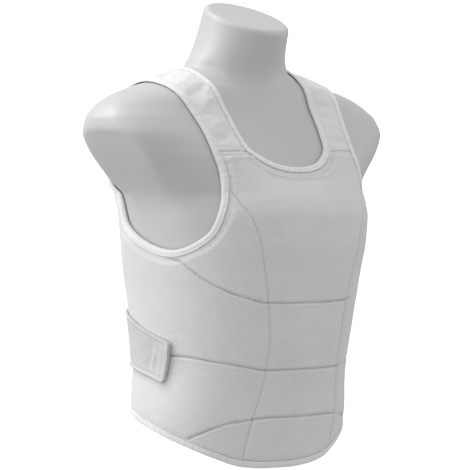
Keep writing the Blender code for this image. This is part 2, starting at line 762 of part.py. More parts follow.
for s in (-1, 1):
    stations = np.linspace(0, len(CLOSURE) - 1, 13)
    index = np.arange(len(CLOSURE))
    top_a, top_z, low_a, low_z = (
        monotone(index, [r[k] for r in CLOSURE], stations) for k in range(4)
    )
    rows = []
    for share in np.linspace(0, 1, 4):
        angle = np.radians(low_a + (top_a - low_a) * share) * s
        rows.append(np.stack([angle, low_z + (top_z - low_z) * share], -1))
    places = np.stack(rows)
    off = table(CLOSURE_STANDOFF, np.degrees(np.abs(places[..., 0])))
    wall("closure_strap_" + SIDE[s], places, off, off + CLOSURE_WALL, colour=(0.86, 0.86, 0.87))
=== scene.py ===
"""Looks of the padded karate chest protector on its limbless torso form.

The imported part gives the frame: every piece below stands for the CAD node of
the same name and follows the same cut, with the foam's quilting, the turned
and stitched edges and the creases of the cloth added. Lengths in the tables
are millimetres. Angles are measured round the body, 0 at the front centre and
+ towards the wearer's left.
"""

import json
import math

import bpy
import numpy as np
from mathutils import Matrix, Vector
from mathutils.bvhtree import BVHTree
from mathutils.kdtree import KDTree

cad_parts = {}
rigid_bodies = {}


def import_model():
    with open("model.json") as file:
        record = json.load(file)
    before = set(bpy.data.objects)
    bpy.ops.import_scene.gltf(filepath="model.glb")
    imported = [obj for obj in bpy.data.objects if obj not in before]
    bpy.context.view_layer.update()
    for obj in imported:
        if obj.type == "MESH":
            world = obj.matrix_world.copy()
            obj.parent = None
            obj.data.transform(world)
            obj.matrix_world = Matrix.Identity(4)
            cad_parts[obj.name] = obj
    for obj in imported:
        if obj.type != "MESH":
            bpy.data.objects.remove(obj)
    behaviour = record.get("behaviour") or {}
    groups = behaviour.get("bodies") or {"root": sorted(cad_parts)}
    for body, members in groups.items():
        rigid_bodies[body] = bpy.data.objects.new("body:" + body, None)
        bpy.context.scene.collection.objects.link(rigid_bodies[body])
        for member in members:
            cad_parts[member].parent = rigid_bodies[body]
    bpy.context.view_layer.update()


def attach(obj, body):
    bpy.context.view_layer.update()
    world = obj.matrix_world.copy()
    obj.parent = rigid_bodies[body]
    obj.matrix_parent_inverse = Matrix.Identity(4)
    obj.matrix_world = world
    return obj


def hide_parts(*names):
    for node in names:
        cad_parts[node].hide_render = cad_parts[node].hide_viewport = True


for old in list(bpy.data.objects):
    bpy.data.objects.remove(old, do_unlink=True)

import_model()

MM = 0.001

# ---- sizes shared with the CAD -------------------------------------------------
PAD_GAP = 2.0          # clearance from the form to the padded fronts
PAD_WALL = 7.5         # foam padded wall
EDGE_WALL = (5.0, 2.8)   # wall where it is sewn into a tape: low, high on the chest
HEM_WALL = 6.6
BACK_GAP = 1.9
BACK_WALL = 4.4
BACK_EDGE_WALL = 4.0
STRAP_GAP = 1.3
STRAP_WALL = 1.8
BINDING_WIDTH = 8.0
BINDING_GAP = 1.3
HEM_TUCK = 22.0        # how far above the hem the form ends
FOOT_HALF_WIDTH = 34.0
FOOT_HALF_DEPTH = 30.0
FOOT_CENTRE_Y = -14.0
FOOT_BASE = 3.4
FOOT_HEIGHT = 16.0
NECK_CUT = (-62.0, 548.0, 0.412)     # y and height of its front, slope
ARM_CUT = (168.5, 346.0, 0.94)       # half width and height at the armpit, slope
DEPTH_SHIFT = 6.6
HEIGHT_SHIFT = -FOOT_BASE

# ---- sizes of the looks ----------------------------------------------------------
PRINCESS_CUT = 5.4     # wall at the stitched princess seams
CREASE_CUT = 3.8       # depth of the quilting creases, and of the soft dip about them
CREASE_SOFT = 0.55
TAPE_PROUD = 1.45      # how far a tape stands above the cloth that it holds
STITCH_PITCH = 4.4     # length of a machine stitch
STITCH_AT = 0.36       # place of its stitches, as a share of its width
CLOTH_TONE = 0.73
FORM_TONE = 0.54
SKY = (0.485, 0.755)     # light of the studio from below and from above
FLOOR_GLOW = 0.75
# name, azimuth, elevation, distance, size, power, and what it points at
LIGHTS = [
    ("key", -120, 26, 1.40, (0.9, 0.9), 8.4, (0, 0, 0.47)),
    ("bounce", -110, -24, 1.3, (1.0, 1.0), 2.6, (0, 0, 0.50)),
    ("rim", -140, 60, 2.6, (1.0, 1.0), 20.0),
    ("front", -50, 56, 2.8, (1.3, 1.3), 6.5),
    ("fill", 62, 12, 3.0, (1.4, 1.4), 7.0),
]

# ---- the torso: height, half_width, centre_y, front, back, front_exp, back_exp
TORSO = [
    (0, 147, 8, 88, 94, 2.05, 2.40),
    (40, 146, 8, 91, 96, 2.08, 2.42),
    (75, 144.5, 7, 95, 99, 2.15, 2.45),
    (100, 142, 6, 97, 101, 2.18, 2.45),
    (130, 139, 5, 102, 101, 2.22, 2.45),
    (165, 142, 5, 107, 103, 2.28, 2.42),
    (210, 148.5, 6, 112, 106, 2.35, 2.38),
    (250, 155, 8, 117, 108, 2.40, 2.40),
    (290, 161, 10, 122, 111, 2.50, 2.42),
    (318, 164, 11, 122, 112, 2.55, 2.42),
    (332, 165.5, 12, 118, 112, 2.55, 2.42),
    (346, 168.5, 12, 110, 111, 2.55, 2.40),
    (360, 187, 12, 100, 110, 2.60, 2.42),
    (380, 211, 12, 88, 107, 2.80, 2.55),
    (400, 231, 12, 76, 102, 3.20, 2.80),
    (421, 243, 12, 62.7, 94, 3.80, 3.30),
    (440, 242, 14, 51.5, 88, 3.30, 2.90),
    (455, 231, 17, 45, 84, 2.70, 2.60),
    (468, 210, 20, 42, 80, 2.25, 2.20),
    (479, 176, 23, 40, 76, 1.90, 1.93),
    (488, 138, 24, 39, 73, 1.65, 1.70),
    (496, 104, 22, 40, 70, 1.60, 1.70),
    (504, 79, 18, 42.5, 69.5, 1.80, 1.80),
    (514, 69, 13, 46, 68.5, 1.95, 1.95),
    (530, 62, 6, 51.5, 63.5, 2.00, 2.00),
    (550, 58.5, -1, 58.5, 57, 2.00, 2.00),
    (575, 57, -9, 66, 48, 2.00, 2.00),
    (605, 56, -18, 74, 38, 2.00, 2.00),
]

# ---- the cut of the garment ------------------------------------------------
# lower edge of the hem: angle, height
HEM = [
    (-180, 79), (-140, 77), (-118, 71), (-98, 57.5), (-79, 39), (-61, 19.5),
    (-46, 8), (-30, 5.2), (-10, 5), (8, 7), (27, 13), (36, 19.5), (43, 26.5),
    (50, 33.5), (58, 42), (68, 51), (80, 59), (98, 66), (125, 75), (180, 79),
]
# princess seams: height, angle on the right, angle on the left
PRINCESS = [
    (0, 46, 33.5), (34, 43.3, 35), (66, 39.2, 36.8), (98, 35, 35.2),
    (130, 31.8, 33), (165, 30.7, 31.5), (212, 32, 32.5), (254, 34, 34.3),
    (290, 36.3, 36.5), (315, 39.6, 39.6), (340, 46.8, 46.8), (375, 56, 56),
]
# quilting creases, the same on both sides: angle, height
CREASE_LOW = [(0, 68.5), (28, 69), (40, 67), (52, 63.5), (60, 57.5), (68, 49), (76, 38.5), (86, 30), (180, 30)]
CREASE_MID = [(0, 128.5), (32, 128.7), (48, 135), (60, 140), (79, 146.5), (180, 150)]
CREASE_TOP = [(0, 211.3), (32, 212.7), (48.5, 223.4), (62, 242), (73, 265.5), (180, 300)]
CREASE_END = 76.0      # angle where the creases run out at the sides
# side seam: height, angle
SIDE_SEAM = [(0, 128), (150, 127), (230, 124), (270, 117), (312, 107)]

# edge of the cloth along an armhole: place, x right, x left, y, height
ARMHOLE = [
    ("ridge", 143, 138, 18, 487),
    ("shoulder_front", 141, 134, -18, 477),
    ("collar", 135.5, 129, -37, 457),
    ("upper_chest", 129, 123, -54, 429),
    ("strap_seam", 125, 119, -74, 398),
    ("chest", 121.5, 121, -83, 377),
    ("princess", 122.5, 123.5, -91, 353),
    ("armpit_front", 129, 130, -95, 331),
    ("under_front", 140.5, 140.5, -84, 294.5),
    ("under", 161, 161, -39, 269),
    ("under_back", 167.5, 167.5, 9.5, 277.5),
    ("side_seam", 161.5, 161.5, 52, 306),
    ("blade_low", 156.5, 156.5, 61, 333),
    ("blade_middle", 152, 152, 72, 351),
    ("blade", 147, 147, 83, 371),
    ("blade_high", 138, 136, 92, 404),
    ("back_seam", 134, 130, 87, 434),
    ("shoulder_back", 140, 134, 65, 464),
]
# edge of the cloth along the neckline: place, x right, x left, y, height
NECKLINE = [
    ("front", 0, 0, -97, 371.5),
    ("front_curve", 26, 26, -96, 373.3),
    ("front_corner", 50, 49, -91.5, 380),
    ("strap_seam", 77.5, 75, -80, 399),
    ("collar_low", 84, 82, -66, 420),
    ("collar", 87, 84.5, -54, 440),
    ("collar_high", 92, 83.5, -41, 462),
    ("shoulder_front", 95, 84, -14, 487),
    ("ridge", 93, 83, 18, 498),
    ("shoulder_back", 91, 84, 56, 486),
    ("back_collar", 87, 83, 75, 462),
    ("back_seam", 78, 76, 89, 434),
    ("back_corner", 48, 47, 94, 418),
    ("back", 0, 0, 97, 411),
]
# closure strap, from its free end back: top angle, top height, low angle, low height
CLOSURE = [
    (82.3, 163.5, 86.3, 110.5), (90, 171.5, 92, 115.5), (98.5, 181, 98.5, 120.5),
    (106, 190, 106, 125.5), (113, 196.5, 113, 129), (124, 202, 124, 133),
    (142, 206, 142, 138),
]
# how far the inside of a closure strap stands off the form: angle, distance
CLOSURE_STANDOFF = [(60, 10.6), (118, 10.6), (127, 9.4), (133, 7.7), (150, 7.1)]


# ---- curves ----------------------------------------------------------------
def monotone(xs, ys, x):
    """Smooth interpolation through a table that never overshoots it."""
    xs, ys, x = (np.asarray(v, float) for v in (xs, ys, x))
    h = np.diff(xs)
    d = np.diff(ys) / h
    m = np.zeros_like(ys)
    m[0], m[-1] = d[0], d[-1]
    for i in range(1, len(ys) - 1):
        if d[i - 1] * d[i] > 0:
            w1, w2 = 2 * h[i] + h[i - 1], h[i] + 2 * h[i - 1]
            m[i] = (w1 + w2) / (w1 / d[i - 1] + w2 / d[i])
    i = np.clip(np.searchsorted(xs, x, side="right") - 1, 0, len(h) - 1)
    t = np.clip((x - xs[i]) / h[i], 0, 1)
    return (
        (2 * t**3 - 3 * t**2 + 1) * ys[i]
        + (t**3 - 2 * t**2 + t) * h[i] * m[i]
        + (3 * t**2 - 2 * t**3) * ys[i + 1]
        + (t**3 - t**2) * h[i] * m[i + 1]
    )


def table(rows, x, column=1):
    return monotone([r[0] for r in rows], [r[column] for r in rows], x)


def skin(phi, z):
    """Points of the torso's surface at these angles (radians) and heights."""
    phi, z = np.broadcast_arrays(np.asarray(phi, float), np.asarray(z, float))
    a, yc, yf, yb, nf, nb = (table(TORSO, z, k) for k in range(1, 7))
    s, c = np.sin(phi), np.cos(phi)
    b = np.where(c >= 0, yf + yc, yb - yc)
    n = np.where(c >= 0, nf, nb)
    r = (np.abs(s / a) ** n + np.abs(c / b) ** n) ** (-1 / n)
    return np.stack([r * s, yc - r * c, z], -1)


def outward(phi, z):
    """Unit normals of that surface."""
    du = skin(np.asarray(phi) + 1e-3, z) - skin(np.asarray(phi) - 1e-3, z)
    dz = skin(phi, np.asarray(z) + 1.0) - skin(phi, np.asarray(z) - 1.0)
    n = np.cross(du, dz)
    return n / np.linalg.norm(n, axis=-1, keepdims=True)


def lift(phi, z, off):
    return skin(phi, z) + outward(phi, z) * np.asarray(off, float)[..., None]


def skin_tree():
    angles = np.linspace(-math.pi, math.pi, 241)[:-1]
    heights = np.arange(60.0, 520.0, 3.0)
    grid = skin(angles[None, :], heights[:, None])
    k = len(angles)
    quads = [
        (r * k + c, r * k + (c + 1) % k, (r + 1) * k + (c + 1) % k, (r + 1) * k + c)
        for r in range(len(heights) - 1)
        for c in range(k)
    ]
    return BVHTree.FromPolygons([tuple(p) for p in grid.reshape(-1, 3)], quads)


TREE = skin_tree()


def on_skin(points):
    """Angle and height of the places on the skin nearest to these points."""
    near = np.array([TREE.find_nearest(Vector(p))[0][:] for p in points])
    yc = table(TORSO, near[:, 2], 2)
    return np.arctan2(near[:, 0], yc - near[:, 1]), near[:, 2]


def closed_curve(stations, per_span=16):
    """Smooth closed curve through the stations, and where each one is on it."""
    p = np.array(stations, float)
    n = len(p)
    out = []
    for i in range(n):
        p0, p1, p2, p3 = (p[(i + k - 1) % n] for k in range(4))
        knots = [0.0]
        for a, b in ((p0, p1), (p1, p2), (p2, p3)):
            knots.append(knots[-1] + math.sqrt(np.linalg.norm(b - a)))
        k0, k1, k2, k3 = knots
        for t in np.linspace(k1, k2, per_span, endpoint=False):
            a1 = p0 * (k1 - t) / (k1 - k0) + p1 * (t - k0) / (k1 - k0)
            a2 = p1 * (k2 - t) / (k2 - k1) + p2 * (t - k1) / (k2 - k1)
            a3 = p2 * (k3 - t) / (k3 - k2) + p3 * (t - k2) / (k3 - k2)
            b1 = a1 * (k2 - t) / (k2 - k0) + a2 * (t - k0) / (k2 - k0)
            b2 = a2 * (k3 - t) / (k3 - k1) + a3 * (t - k1) / (k3 - k1)
            out.append(b1 * (k2 - t) / (k2 - k1) + b2 * (t - k1) / (k2 - k1))
    return np.array(out), {i: i * per_span for i in range(n)}


class Loop:
    """A closed line on the skin with named stations."""

    def __init__(self, names, stations):
        self.points, at = closed_curve(stations)
        self.at = {name: at[i] for i, name in enumerate(names)}

    def stretch(self, start, end, pieces):
        """pieces + 1 evenly spaced places from one station on to another."""
        i, j = self.at[start], self.at[end]
        if j <= i:
            j += len(self.points)
        run = self.points[np.arange(i, j + 1) % len(self.points)]
        along = np.concatenate([[0], np.cumsum(np.linalg.norm(np.diff(run, axis=0), axis=1))])
        where = np.linspace(0, along[-1], pieces + 1)
        even = np.stack([np.interp(where, along, run[:, k]) for k in range(3)], -1)
        phi, z = on_skin(even)
        return np.stack([phi, z], -1)


def armhole_loop(side):
    column = 1 if side < 0 else 2
    return Loop([r[0] for r in ARMHOLE], [(side * r[column], r[3], r[4]) for r in ARMHOLE])


def neck_loop():
    right = [(r[0] + "_right", -r[1], r[3], r[4]) for r in NECKLINE]
    left = [(r[0] + "_left", r[2], r[3], r[4]) for r in NECKLINE[1:-1]]
    rows = right + left[::-1]
    return Loop([r[0] for r in rows], [r[1:] for r in rows])


def along_line(points):
    """Running length of a line of points."""
    step = np.linalg.norm(np.diff(points, axis=0), axis=1)
    return np.concatenate([[0.0], np.cumsum(step)])


def dense(points, pitch=0.8):
    s = along_line(points)
    where = np.linspace(0, s[-1], max(2, int(s[-1] / pitch)))
    return np.stack([np.interp(where, s, points[:, k]) for k in range(3)], -1), where


class Line:
    """Distance to a line of places on the skin, and how far along it."""

    def __init__(self, places, pitch=0.8):
        self.points, self.along = dense(skin(places[:, 0], places[:, 1]), pitch)
        self.tree = KDTree(len(self.points))
        for i, p in enumerate(self.points):
            self.tree.insert(p, i)
        self.tree.balance()

    def reach(self, points):
        flat = points.reshape(-1, 3)
        found = [self.tree.find(p)[1:] for p in flat]
        away = np.array([f[1] for f in found]).reshape(points.shape[:-1])
        at = self.along[np.array([f[0] for f in found])].reshape(points.shape[:-1])
        return away, at


def step(a, b, x):
    t = np.clip((np.asarray(x, float) - a) / (b - a), 0, 1)
    return t * t * (3 - 2 * t)


def bump(x, half):
    return np.exp(-((np.asarray(x, float) / half) ** 2))


def rumple(points, size, seed, waves=9):
    """Smooth unevenness between about -1 and 1, on this scale in mm."""
    rng = np.random.default_rng(seed)
    total = np.zeros(points.shape[:-1])
    for _ in range(waves):
        way = rng.normal(size=3)
        way *= 2 * math.pi / (size * rng.uniform(0.7, 1.5)) / np.linalg.norm(way)
        total += np.sin(points @ way + rng.uniform(0, 2 * math.pi))
    return total / math.sqrt(waves) / 1.2


def puckers(along, away, pitch, reach, seed):
    """Small gathers that a row of stitches draws into the cloth beside it."""
    rng = np.random.default_rng(seed)
    a, b, c = rng.uniform(0, 2 * math.pi, 3)
    drift = 1.9 * np.sin(along / 23.0 + a) + 1.2 * np.sin(along / 9.7 + b)
    height = np.sin(2 * math.pi * along / pitch + drift + away * 0.22)
    return height * (0.65 + 0.35 * np.sin(along / 31.0 + c)) * np.exp(-away / reach)


def crease_distance(rows, places):
    """Distance on the skin from places to a quilting crease."""
    phi, z = places[..., 0], places[..., 1]
    at = crease(rows, phi)
    ahead = crease(rows, phi + 0.01)
    on = skin(phi, z)
    radius = np.hypot(on[..., 0], on[..., 1])
    slope = (ahead - at) / (0.01 * radius)
    return (z - at) / np.sqrt(1 + slope**2)


def quilting(places):
    """How deep the three quilting creases press into the foam."""
    away = np.degrees(np.abs((places[..., 0] + math.pi) % (2 * math.pi) - math.pi))
    on = skin(places[..., 0], places[..., 1])
    deep = np.zeros(places.shape[:2])
    for k, rows in enumerate((CREASE_LOW, CREASE_MID, CREASE_TOP)):
        d = crease_distance(rows, places)
        last = CREASE_END + (12.0 if k == 1 else 4.0)
        fade = step(last, last - 6.0, away)
        # beyond the far princess seam they begin shallow
        left_side = np.degrees((places[..., 0] + math.pi) % (2 * math.pi) - math.pi)
        fade = fade * (1 - 0.65 * bump(left_side - 42.0, 5.5))
        along = places[..., 0] * np.hypot(on[..., 0], on[..., 1])
        stitched = 0.82 + 0.18 * np.cos(2 * math.pi * along / STITCH_PITCH)
        if k == 0:
            above_tape = places[..., 1] - hem_height(places[..., 0]) - BINDING_WIDTH
            fade = fade * step(0.5, 6.0, above_tape)
        uneven = 1 + 0.16 * rumple(on, 34.0, 40 + k)
        wavy = d + 0.35 * rumple(on, 26.0, 50 + k)
        deep += fade * uneven * (
            CREASE_CUT * stitched * bump(wavy, 1.15) + CREASE_SOFT * bump(d + 0.8, 5.0)
            - 0.45 * bump(d + 3.6, 1.7) - 0.2 * bump(d - 4.4, 2.4)
        )
    return deep


def surface_object(name, points, quads, uv=None):
    """A mesh object from points in mm and quads, with a map in metres."""
    moved = (np.asarray(points, float) + (0, DEPTH_SHIFT, HEIGHT_SHIFT)) * MM
    quads = np.asarray(quads, np.int32)
    mesh = bpy.data.meshes.new(name)
    mesh.vertices.add(len(moved))
    mesh.vertices.foreach_set("co", moved.astype(np.float32).ravel())
    sides = quads.shape[1]
    mesh.loops.add(quads.size)
    mesh.loops.foreach_set("vertex_index", quads.ravel())
    mesh.polygons.add(len(quads))
    mesh.polygons.foreach_set("loop_start", np.arange(0, quads.size, sides, dtype=np.int32))
    mesh.update(calc_edges=True)
    mesh.validate()
    if uv is not None:
        layer = mesh.uv_layers.new(name="cut")
        layer.data.foreach_set("uv", np.asarray(uv, np.float32)[quads.ravel()].ravel())
    mesh.shade_smooth()
    obj = bpy.data.objects.new(name, mesh)
    bpy.context.scene.collection.objects.link(obj)
    return obj


def grid_map(points):
    """Map of a grid of points (rows, columns) by its own lengths, in metres."""
    rows, columns = points.shape[:2]
    u = np.zeros((rows, columns))
    u[:, 1:] = np.cumsum(np.linalg.norm(np.diff(points, axis=1), axis=2), axis=1)
    u -= u[:, columns // 2][:, None]
    v = np.zeros((rows, columns))
    v[1:] = np.cumsum(np.linalg.norm(np.diff(points, axis=0), axis=2), axis=0)
    return np.stack([u, v], -1).reshape(-1, 2) * MM


def cloth_wall(name, places, inner, outer):
    """A closed wall over a fine grid of places, its edges rounded over."""
    rows, columns = places.shape[:2]
    inner = np.broadcast_to(inner, (rows, columns)).astype(float)
    outer = np.broadcast_to(outer, (rows, columns)).astype(float)
    phi, z = places[..., 0], places[..., 1]
    base, way = skin(phi, z), outward(phi, z)
    size = rows * columns
    outside = base + way * outer[..., None]
    inside = base + way * inner[..., None]
    index = np.arange(size).reshape(rows, columns)
    quad = np.stack([index[:-1, :-1], index[:-1, 1:], index[1:, 1:], index[1:, :-1]], -1).reshape(-1, 4)
    ring_index = np.concatenate([index[0, :-1], index[:-1, -1], index[-1, :0:-1], index[:0:-1, 0]])
    after = np.roll(ring_index, -1)
    # one line of points half way down the edge
    edge_points = (outside + inside).reshape(-1, 3)[ring_index] / 2
    middle = 2 * size + np.arange(len(ring_index))
    after_middle = np.roll(middle, -1)
    rim = np.concatenate([
        np.stack([ring_index, middle, after_middle, after], -1),
        np.stack([middle, ring_index + size, after + size, after_middle], -1),
    ])
    points = np.concatenate([outside.reshape(-1, 3), inside.reshape(-1, 3), edge_points])
    normal = np.cross(outside[0, 1] - outside[0, 0], outside[1, 0] - outside[0, 0])
    turned = (normal * way[0, 0]).sum() < 0
    faces = np.concatenate([quad, quad[:, ::-1] + size, rim])
    if turned:
        faces = faces[:, ::-1]
    uv = grid_map(outside)
    uv = np.concatenate([uv, uv, uv[ring_index]])
    return surface_object(name, points, faces, uv)


def smooth_loop(values, times=6):
    for _ in range(times):
        values = (np.roll(values, 1, axis=0) + 2 * values + np.roll(values, -1, axis=0)) / 4
    return values


def tape(name, places, held, towards, seed, drop=None):
    """A folded edge tape sewn over the edge of the cloth, along a closed line.

    held is the height of the cloth in it. With drop, it hangs straight down."""
    on = skin(places[:, 0], places[:, 1])
    along = np.concatenate([[0.0], np.cumsum(np.linalg.norm(np.diff(on, axis=0), axis=1))])
    held = smooth_loop(np.asarray(held, float), 30)
    width = BINDING_WIDTH
    profile = [(u, None) for u in (0.0, 0.05, 0.13, 0.2, 0.28, 0.36, 0.44, 0.54, 0.66, 0.78, 0.9, 0.975, 1.0)]
    if drop is None:
        normal = outward(places[:, 0], places[:, 1])
        tangent = smooth_loop(np.roll(on, -1, axis=0) - np.roll(on, 1, axis=0), 12)
        across = np.cross(normal, tangent)
        across /= np.linalg.norm(across, axis=1, keepdims=True)
        if (across * (np.asarray(towards) - on)).sum() < 0:
            across = -across
        across = smooth_loop(across, 12)

        def line_at(u):
            return np.stack(on_skin(on + (0.12 + 0.48 * step(0, 0.3, u) + width * u) * across), -1)
    else:
        def line_at(u):
            return np.stack([places[:, 0], places[:, 1] - 0.1 - 0.3 * step(0, 0.3, u) - width * u], -1)

    rhythm = np.cos(2 * math.pi * along / STITCH_PITCH)
    gather = 0.34 * puckers(along, 0 * along, 2 * STITCH_PITCH, 5.0, seed) + 0.30 * rhythm * (0.7 + 0.3 * np.sin(along / 15.0 + seed))
    sag = 0.25 * np.sin(along / 17.0 + seed) + 0.2 * np.sin(along / 41.0 + 2.0 * seed)
    top, low = [], []
    for u, _ in profile:
        line = line_at(u)
        # the tape's top: a turned lip, the dip of the stitches, a soft roll over the edge
        shape = TAPE_PROUD * (1 - 0.95 * (1 - step(-0.02, 0.06, u))) - (0.5 - 0.35 * rhythm) * bump(u - STITCH_AT, 0.10) + 0.15 * bump(u - 0.68, 0.15)
        body = gather * (0.5 + 0.5 * step(0.1, 0.5, u)) * (1 - 0.6 * step(0.85, 1.0, u)) + sag * 0.4
        full = held + shape + body
        bottom = np.full(len(on), BINDING_GAP if drop is None else 1.5)
        thick = full - bottom
        round_off = 1 - (1 - 0.80) * step(0.45, 1.0, u) - 0.26 * step(0.88, 1.0, u)
        top.append(lift(line[:, 0], line[:, 1], bottom + thick * round_off))
        low.append((line, bottom, thick))
    under = []
    for k in (-1, -2, -4, 4, 0):
        line, bottom, thick = low[k]
        if k == -1:
            under.append(lift(line[:, 0], line[:, 1], bottom + 0.28 * thick))
        else:
            under.append(lift(line[:, 0], line[:, 1], bottom))
    sections = np.stack(top + under, 1)
    count, corners = sections.shape[:2]
    index = np.arange(count * corners).reshape(count, corners)
    nxt = np.roll(index, -1, axis=0)
    quads = np.stack([index, np.roll(index, -1, 1), np.roll(nxt, -1, 1), nxt], -1).reshape(-1, 4)
    around = np.linalg.norm(np.roll(sections, -1, axis=1) - sections, axis=2).mean(0)
    v = np.concatenate([[0.0], np.cumsum(around)[:-1]])
    uv = np.stack(np.broadcast_arrays(along[:, None], v[None, :]), -1).reshape(-1, 2) * MM
    a, b, c = sections[0, 6], sections[0, 7], sections[1, 6]
    normal = np.cross(b - a, c - a)
    if (normal * outward(places[:1, 0], places[:1, 1])[0]).sum() < 0:
        quads = quads[:, ::-1]
    obj = surface_object(name, sections.reshape(-1, 3), quads, uv)
    return obj, line_at


THREADS = {}


def sew(owner, places, colour, pitch=STITCH_PITCH, length=3.0, half=0.46, closed=False):
    """A row of stitches on the outside of a piece, along a line of places.

    Each is a short strand that rises out of the cloth and goes back into it."""
    mesh = owner.data
    co = np.zeros(len(mesh.vertices) * 3, np.float32)
    mesh.vertices.foreach_get("co", co)
    co = co.reshape(-1, 3)
    if owner.name not in THREADS:
        faces = [tuple(p.vertices) for p in mesh.polygons]
        tree = BVHTree.FromPolygons([tuple(p) for p in co], faces)
        THREADS[owner.name] = {"tree": tree, "points": [], "faces": [], "count": 0, "colour": colour}
    store = THREADS[owner.name]
    tree = store["tree"]
    line = skin(places[:, 0], places[:, 1])
    way = outward(places[:, 0], places[:, 1])
    s = along_line(line)
    if s[-1] < pitch * 1.5:
        return
    count = int(s[-1] // pitch)
    for k in range(count):
        start = (k + 0.12) * s[-1] / count
        rows = []
        for share in (0.0, 0.16, 0.5, 0.84, 1.0):
            at = start + share * length
            p = np.array([np.interp(at, s, line[:, i]) for i in range(3)])
            n = np.array([np.interp(at, s, way[:, i]) for i in range(3)])
            n /= np.linalg.norm(n)
            far = (p + n * 32.0 + (0, DEPTH_SHIFT, HEIGHT_SHIFT)) * MM
            hit = tree.ray_cast(Vector(far), Vector(-n), 0.034)
            if hit[0] is None:
                rows = []
                break
            rows.append((np.array(hit[0]) / MM, n))
        if len(rows) < 5:
            continue
        whole = rows[-1][0] - rows[0][0]
        if np.linalg.norm(whole) > 1.9 * length:
            continue
        sections = []
        for (p, n), size, sink in zip(rows, (0.35, 0.9, 1.0, 0.9, 0.35), (-0.5, -0.02, 0.1, -0.02, -0.5)):
            side = np.cross(n, whole)
            side /= np.linalg.norm(side)
            centre = p + n * (sink * half)
            sections.append([
                centre + half * size * (math.cos(a) * side + 0.85 * math.sin(a) * n)
                for a in np.linspace(0, 2 * math.pi, 7)[:-1]
            ])
        base = store["count"]
        store["points"] += [p for section in sections for p in section]
        for i in range(4):
            for j in range(6):
                store["faces"].append((
                    base + i * 6 + j, base + i * 6 + (j + 1) % 6,
                    base + (i + 1) * 6 + (j + 1) % 6, base + (i + 1) * 6 + j,
                ))
        store["faces"] += [
            (base, base + 3, base + 2, base + 1), (base, base + 5, base + 4, base + 3),
            (base + 24, base + 25, base + 26, base + 27), (base + 24, base + 27, base + 28, base + 29),
        ]
        store["count"] += 30


def thread_objects():
    made = []
    for name, store in THREADS.items():
        if not store["points"]:
            continue
        points = np.array(store["points"]) - (0, DEPTH_SHIFT, HEIGHT_SHIFT)
        obj = surface_object("stitches_" + name, points, store["faces"])
        made.append((obj, name))
    return made


# ---- the panels' grids, fine ----------------------------------------------
ARM = {-1: armhole_loop(-1), 1: armhole_loop(1)}
NECK = neck_loop()
SIDE = {-1: "right", 1: "left"}
STRAP_PIECES, STRAP_ACROSS = 120, 30
NECK_FRONT_PIECES, NECK_BACK_PIECES = 88, 64
SIDE_TOP_PIECES = 100
YOKE_ROWS = 24
BLADE_ROWS = 66
CREASE_HALF = 6.0
SPAN_ROWS = (16, 7, 7, 20, 7, 7, 26, 7, 7, 52)


def hem_height(phi):
    wrapped = (np.degrees(phi) + 180) % 360 - 180
    return table(HEM, wrapped)


def princess_angle(z, side):
    return side * np.radians(table(PRINCESS, z, 1 if side < 0 else 2))


def side_seam_angle(z, side):
    return side * np.radians(table(SIDE_SEAM, z))


def crease(rows, phi):
    wrapped = np.abs((np.degrees(phi) + 180) % 360 - 180)
    return table(rows, wrapped)


def column_heights(angle_at, top):
    """Heights of one column's rows, from the hem tape up to the top."""
    def settle(guess, height_of):
        z = guess
        for _ in range(6):
            z = float(height_of(angle_at(z)))
        return z

    low = settle(30.0, lambda a: hem_height(a) + BINDING_WIDTH + 0.25)
    c1 = max(settle(68.0, lambda a: crease(CREASE_LOW, a)), low + CREASE_HALF + 1.5)
    c2 = settle(130.0, lambda a: crease(CREASE_MID, a))
    c3 = min(settle(212.0, lambda a: crease(CREASE_TOP, a)), top - CREASE_HALF - 3.0)
    h = CREASE_HALF
    ends = [low, c1 - h, c1, c1 + h, c2 - h, c2, c2 + h, c3 - h, c3, c3 + h, top]
    heights = [low]
    for a, b, n in zip(ends[:-1], ends[1:], SPAN_ROWS):
        heights += list(np.linspace(a, b, n + 1)[1:])
    return np.array(heights)


def column(angle_at, top):
    z = column_heights(angle_at, top)
    return np.stack([angle_at(z), z], -1)


def between(first, second, share):
    return lambda z: first(z) + (second(z) - first(z)) * share


def edge_wall(z):
    low, high = EDGE_WALL
    return low + (high - low) * np.clip((np.asarray(z) - 345) / 50, 0, 1)


def strap_grid(side):
    outer = ARM[side].stretch("back_seam", "strap_seam", STRAP_PIECES)[::-1]
    if side < 0:
        inner = NECK.stretch("strap_seam_right", "back_seam_right", STRAP_PIECES)
    else:
        inner = NECK.stretch("back_seam_left", "strap_seam_left", STRAP_PIECES)[::-1]
    a, b = skin(outer[:, 0], outer[:, 1]), skin(inner[:, 0], inner[:, 1])
    lines = [outer]
    for k in range(1, STRAP_ACROSS):
        lines.append(np.stack(on_skin(a + (b - a) * k / STRAP_ACROSS), -1))
    lines.append(inner)
    return np.stack(lines, 1)


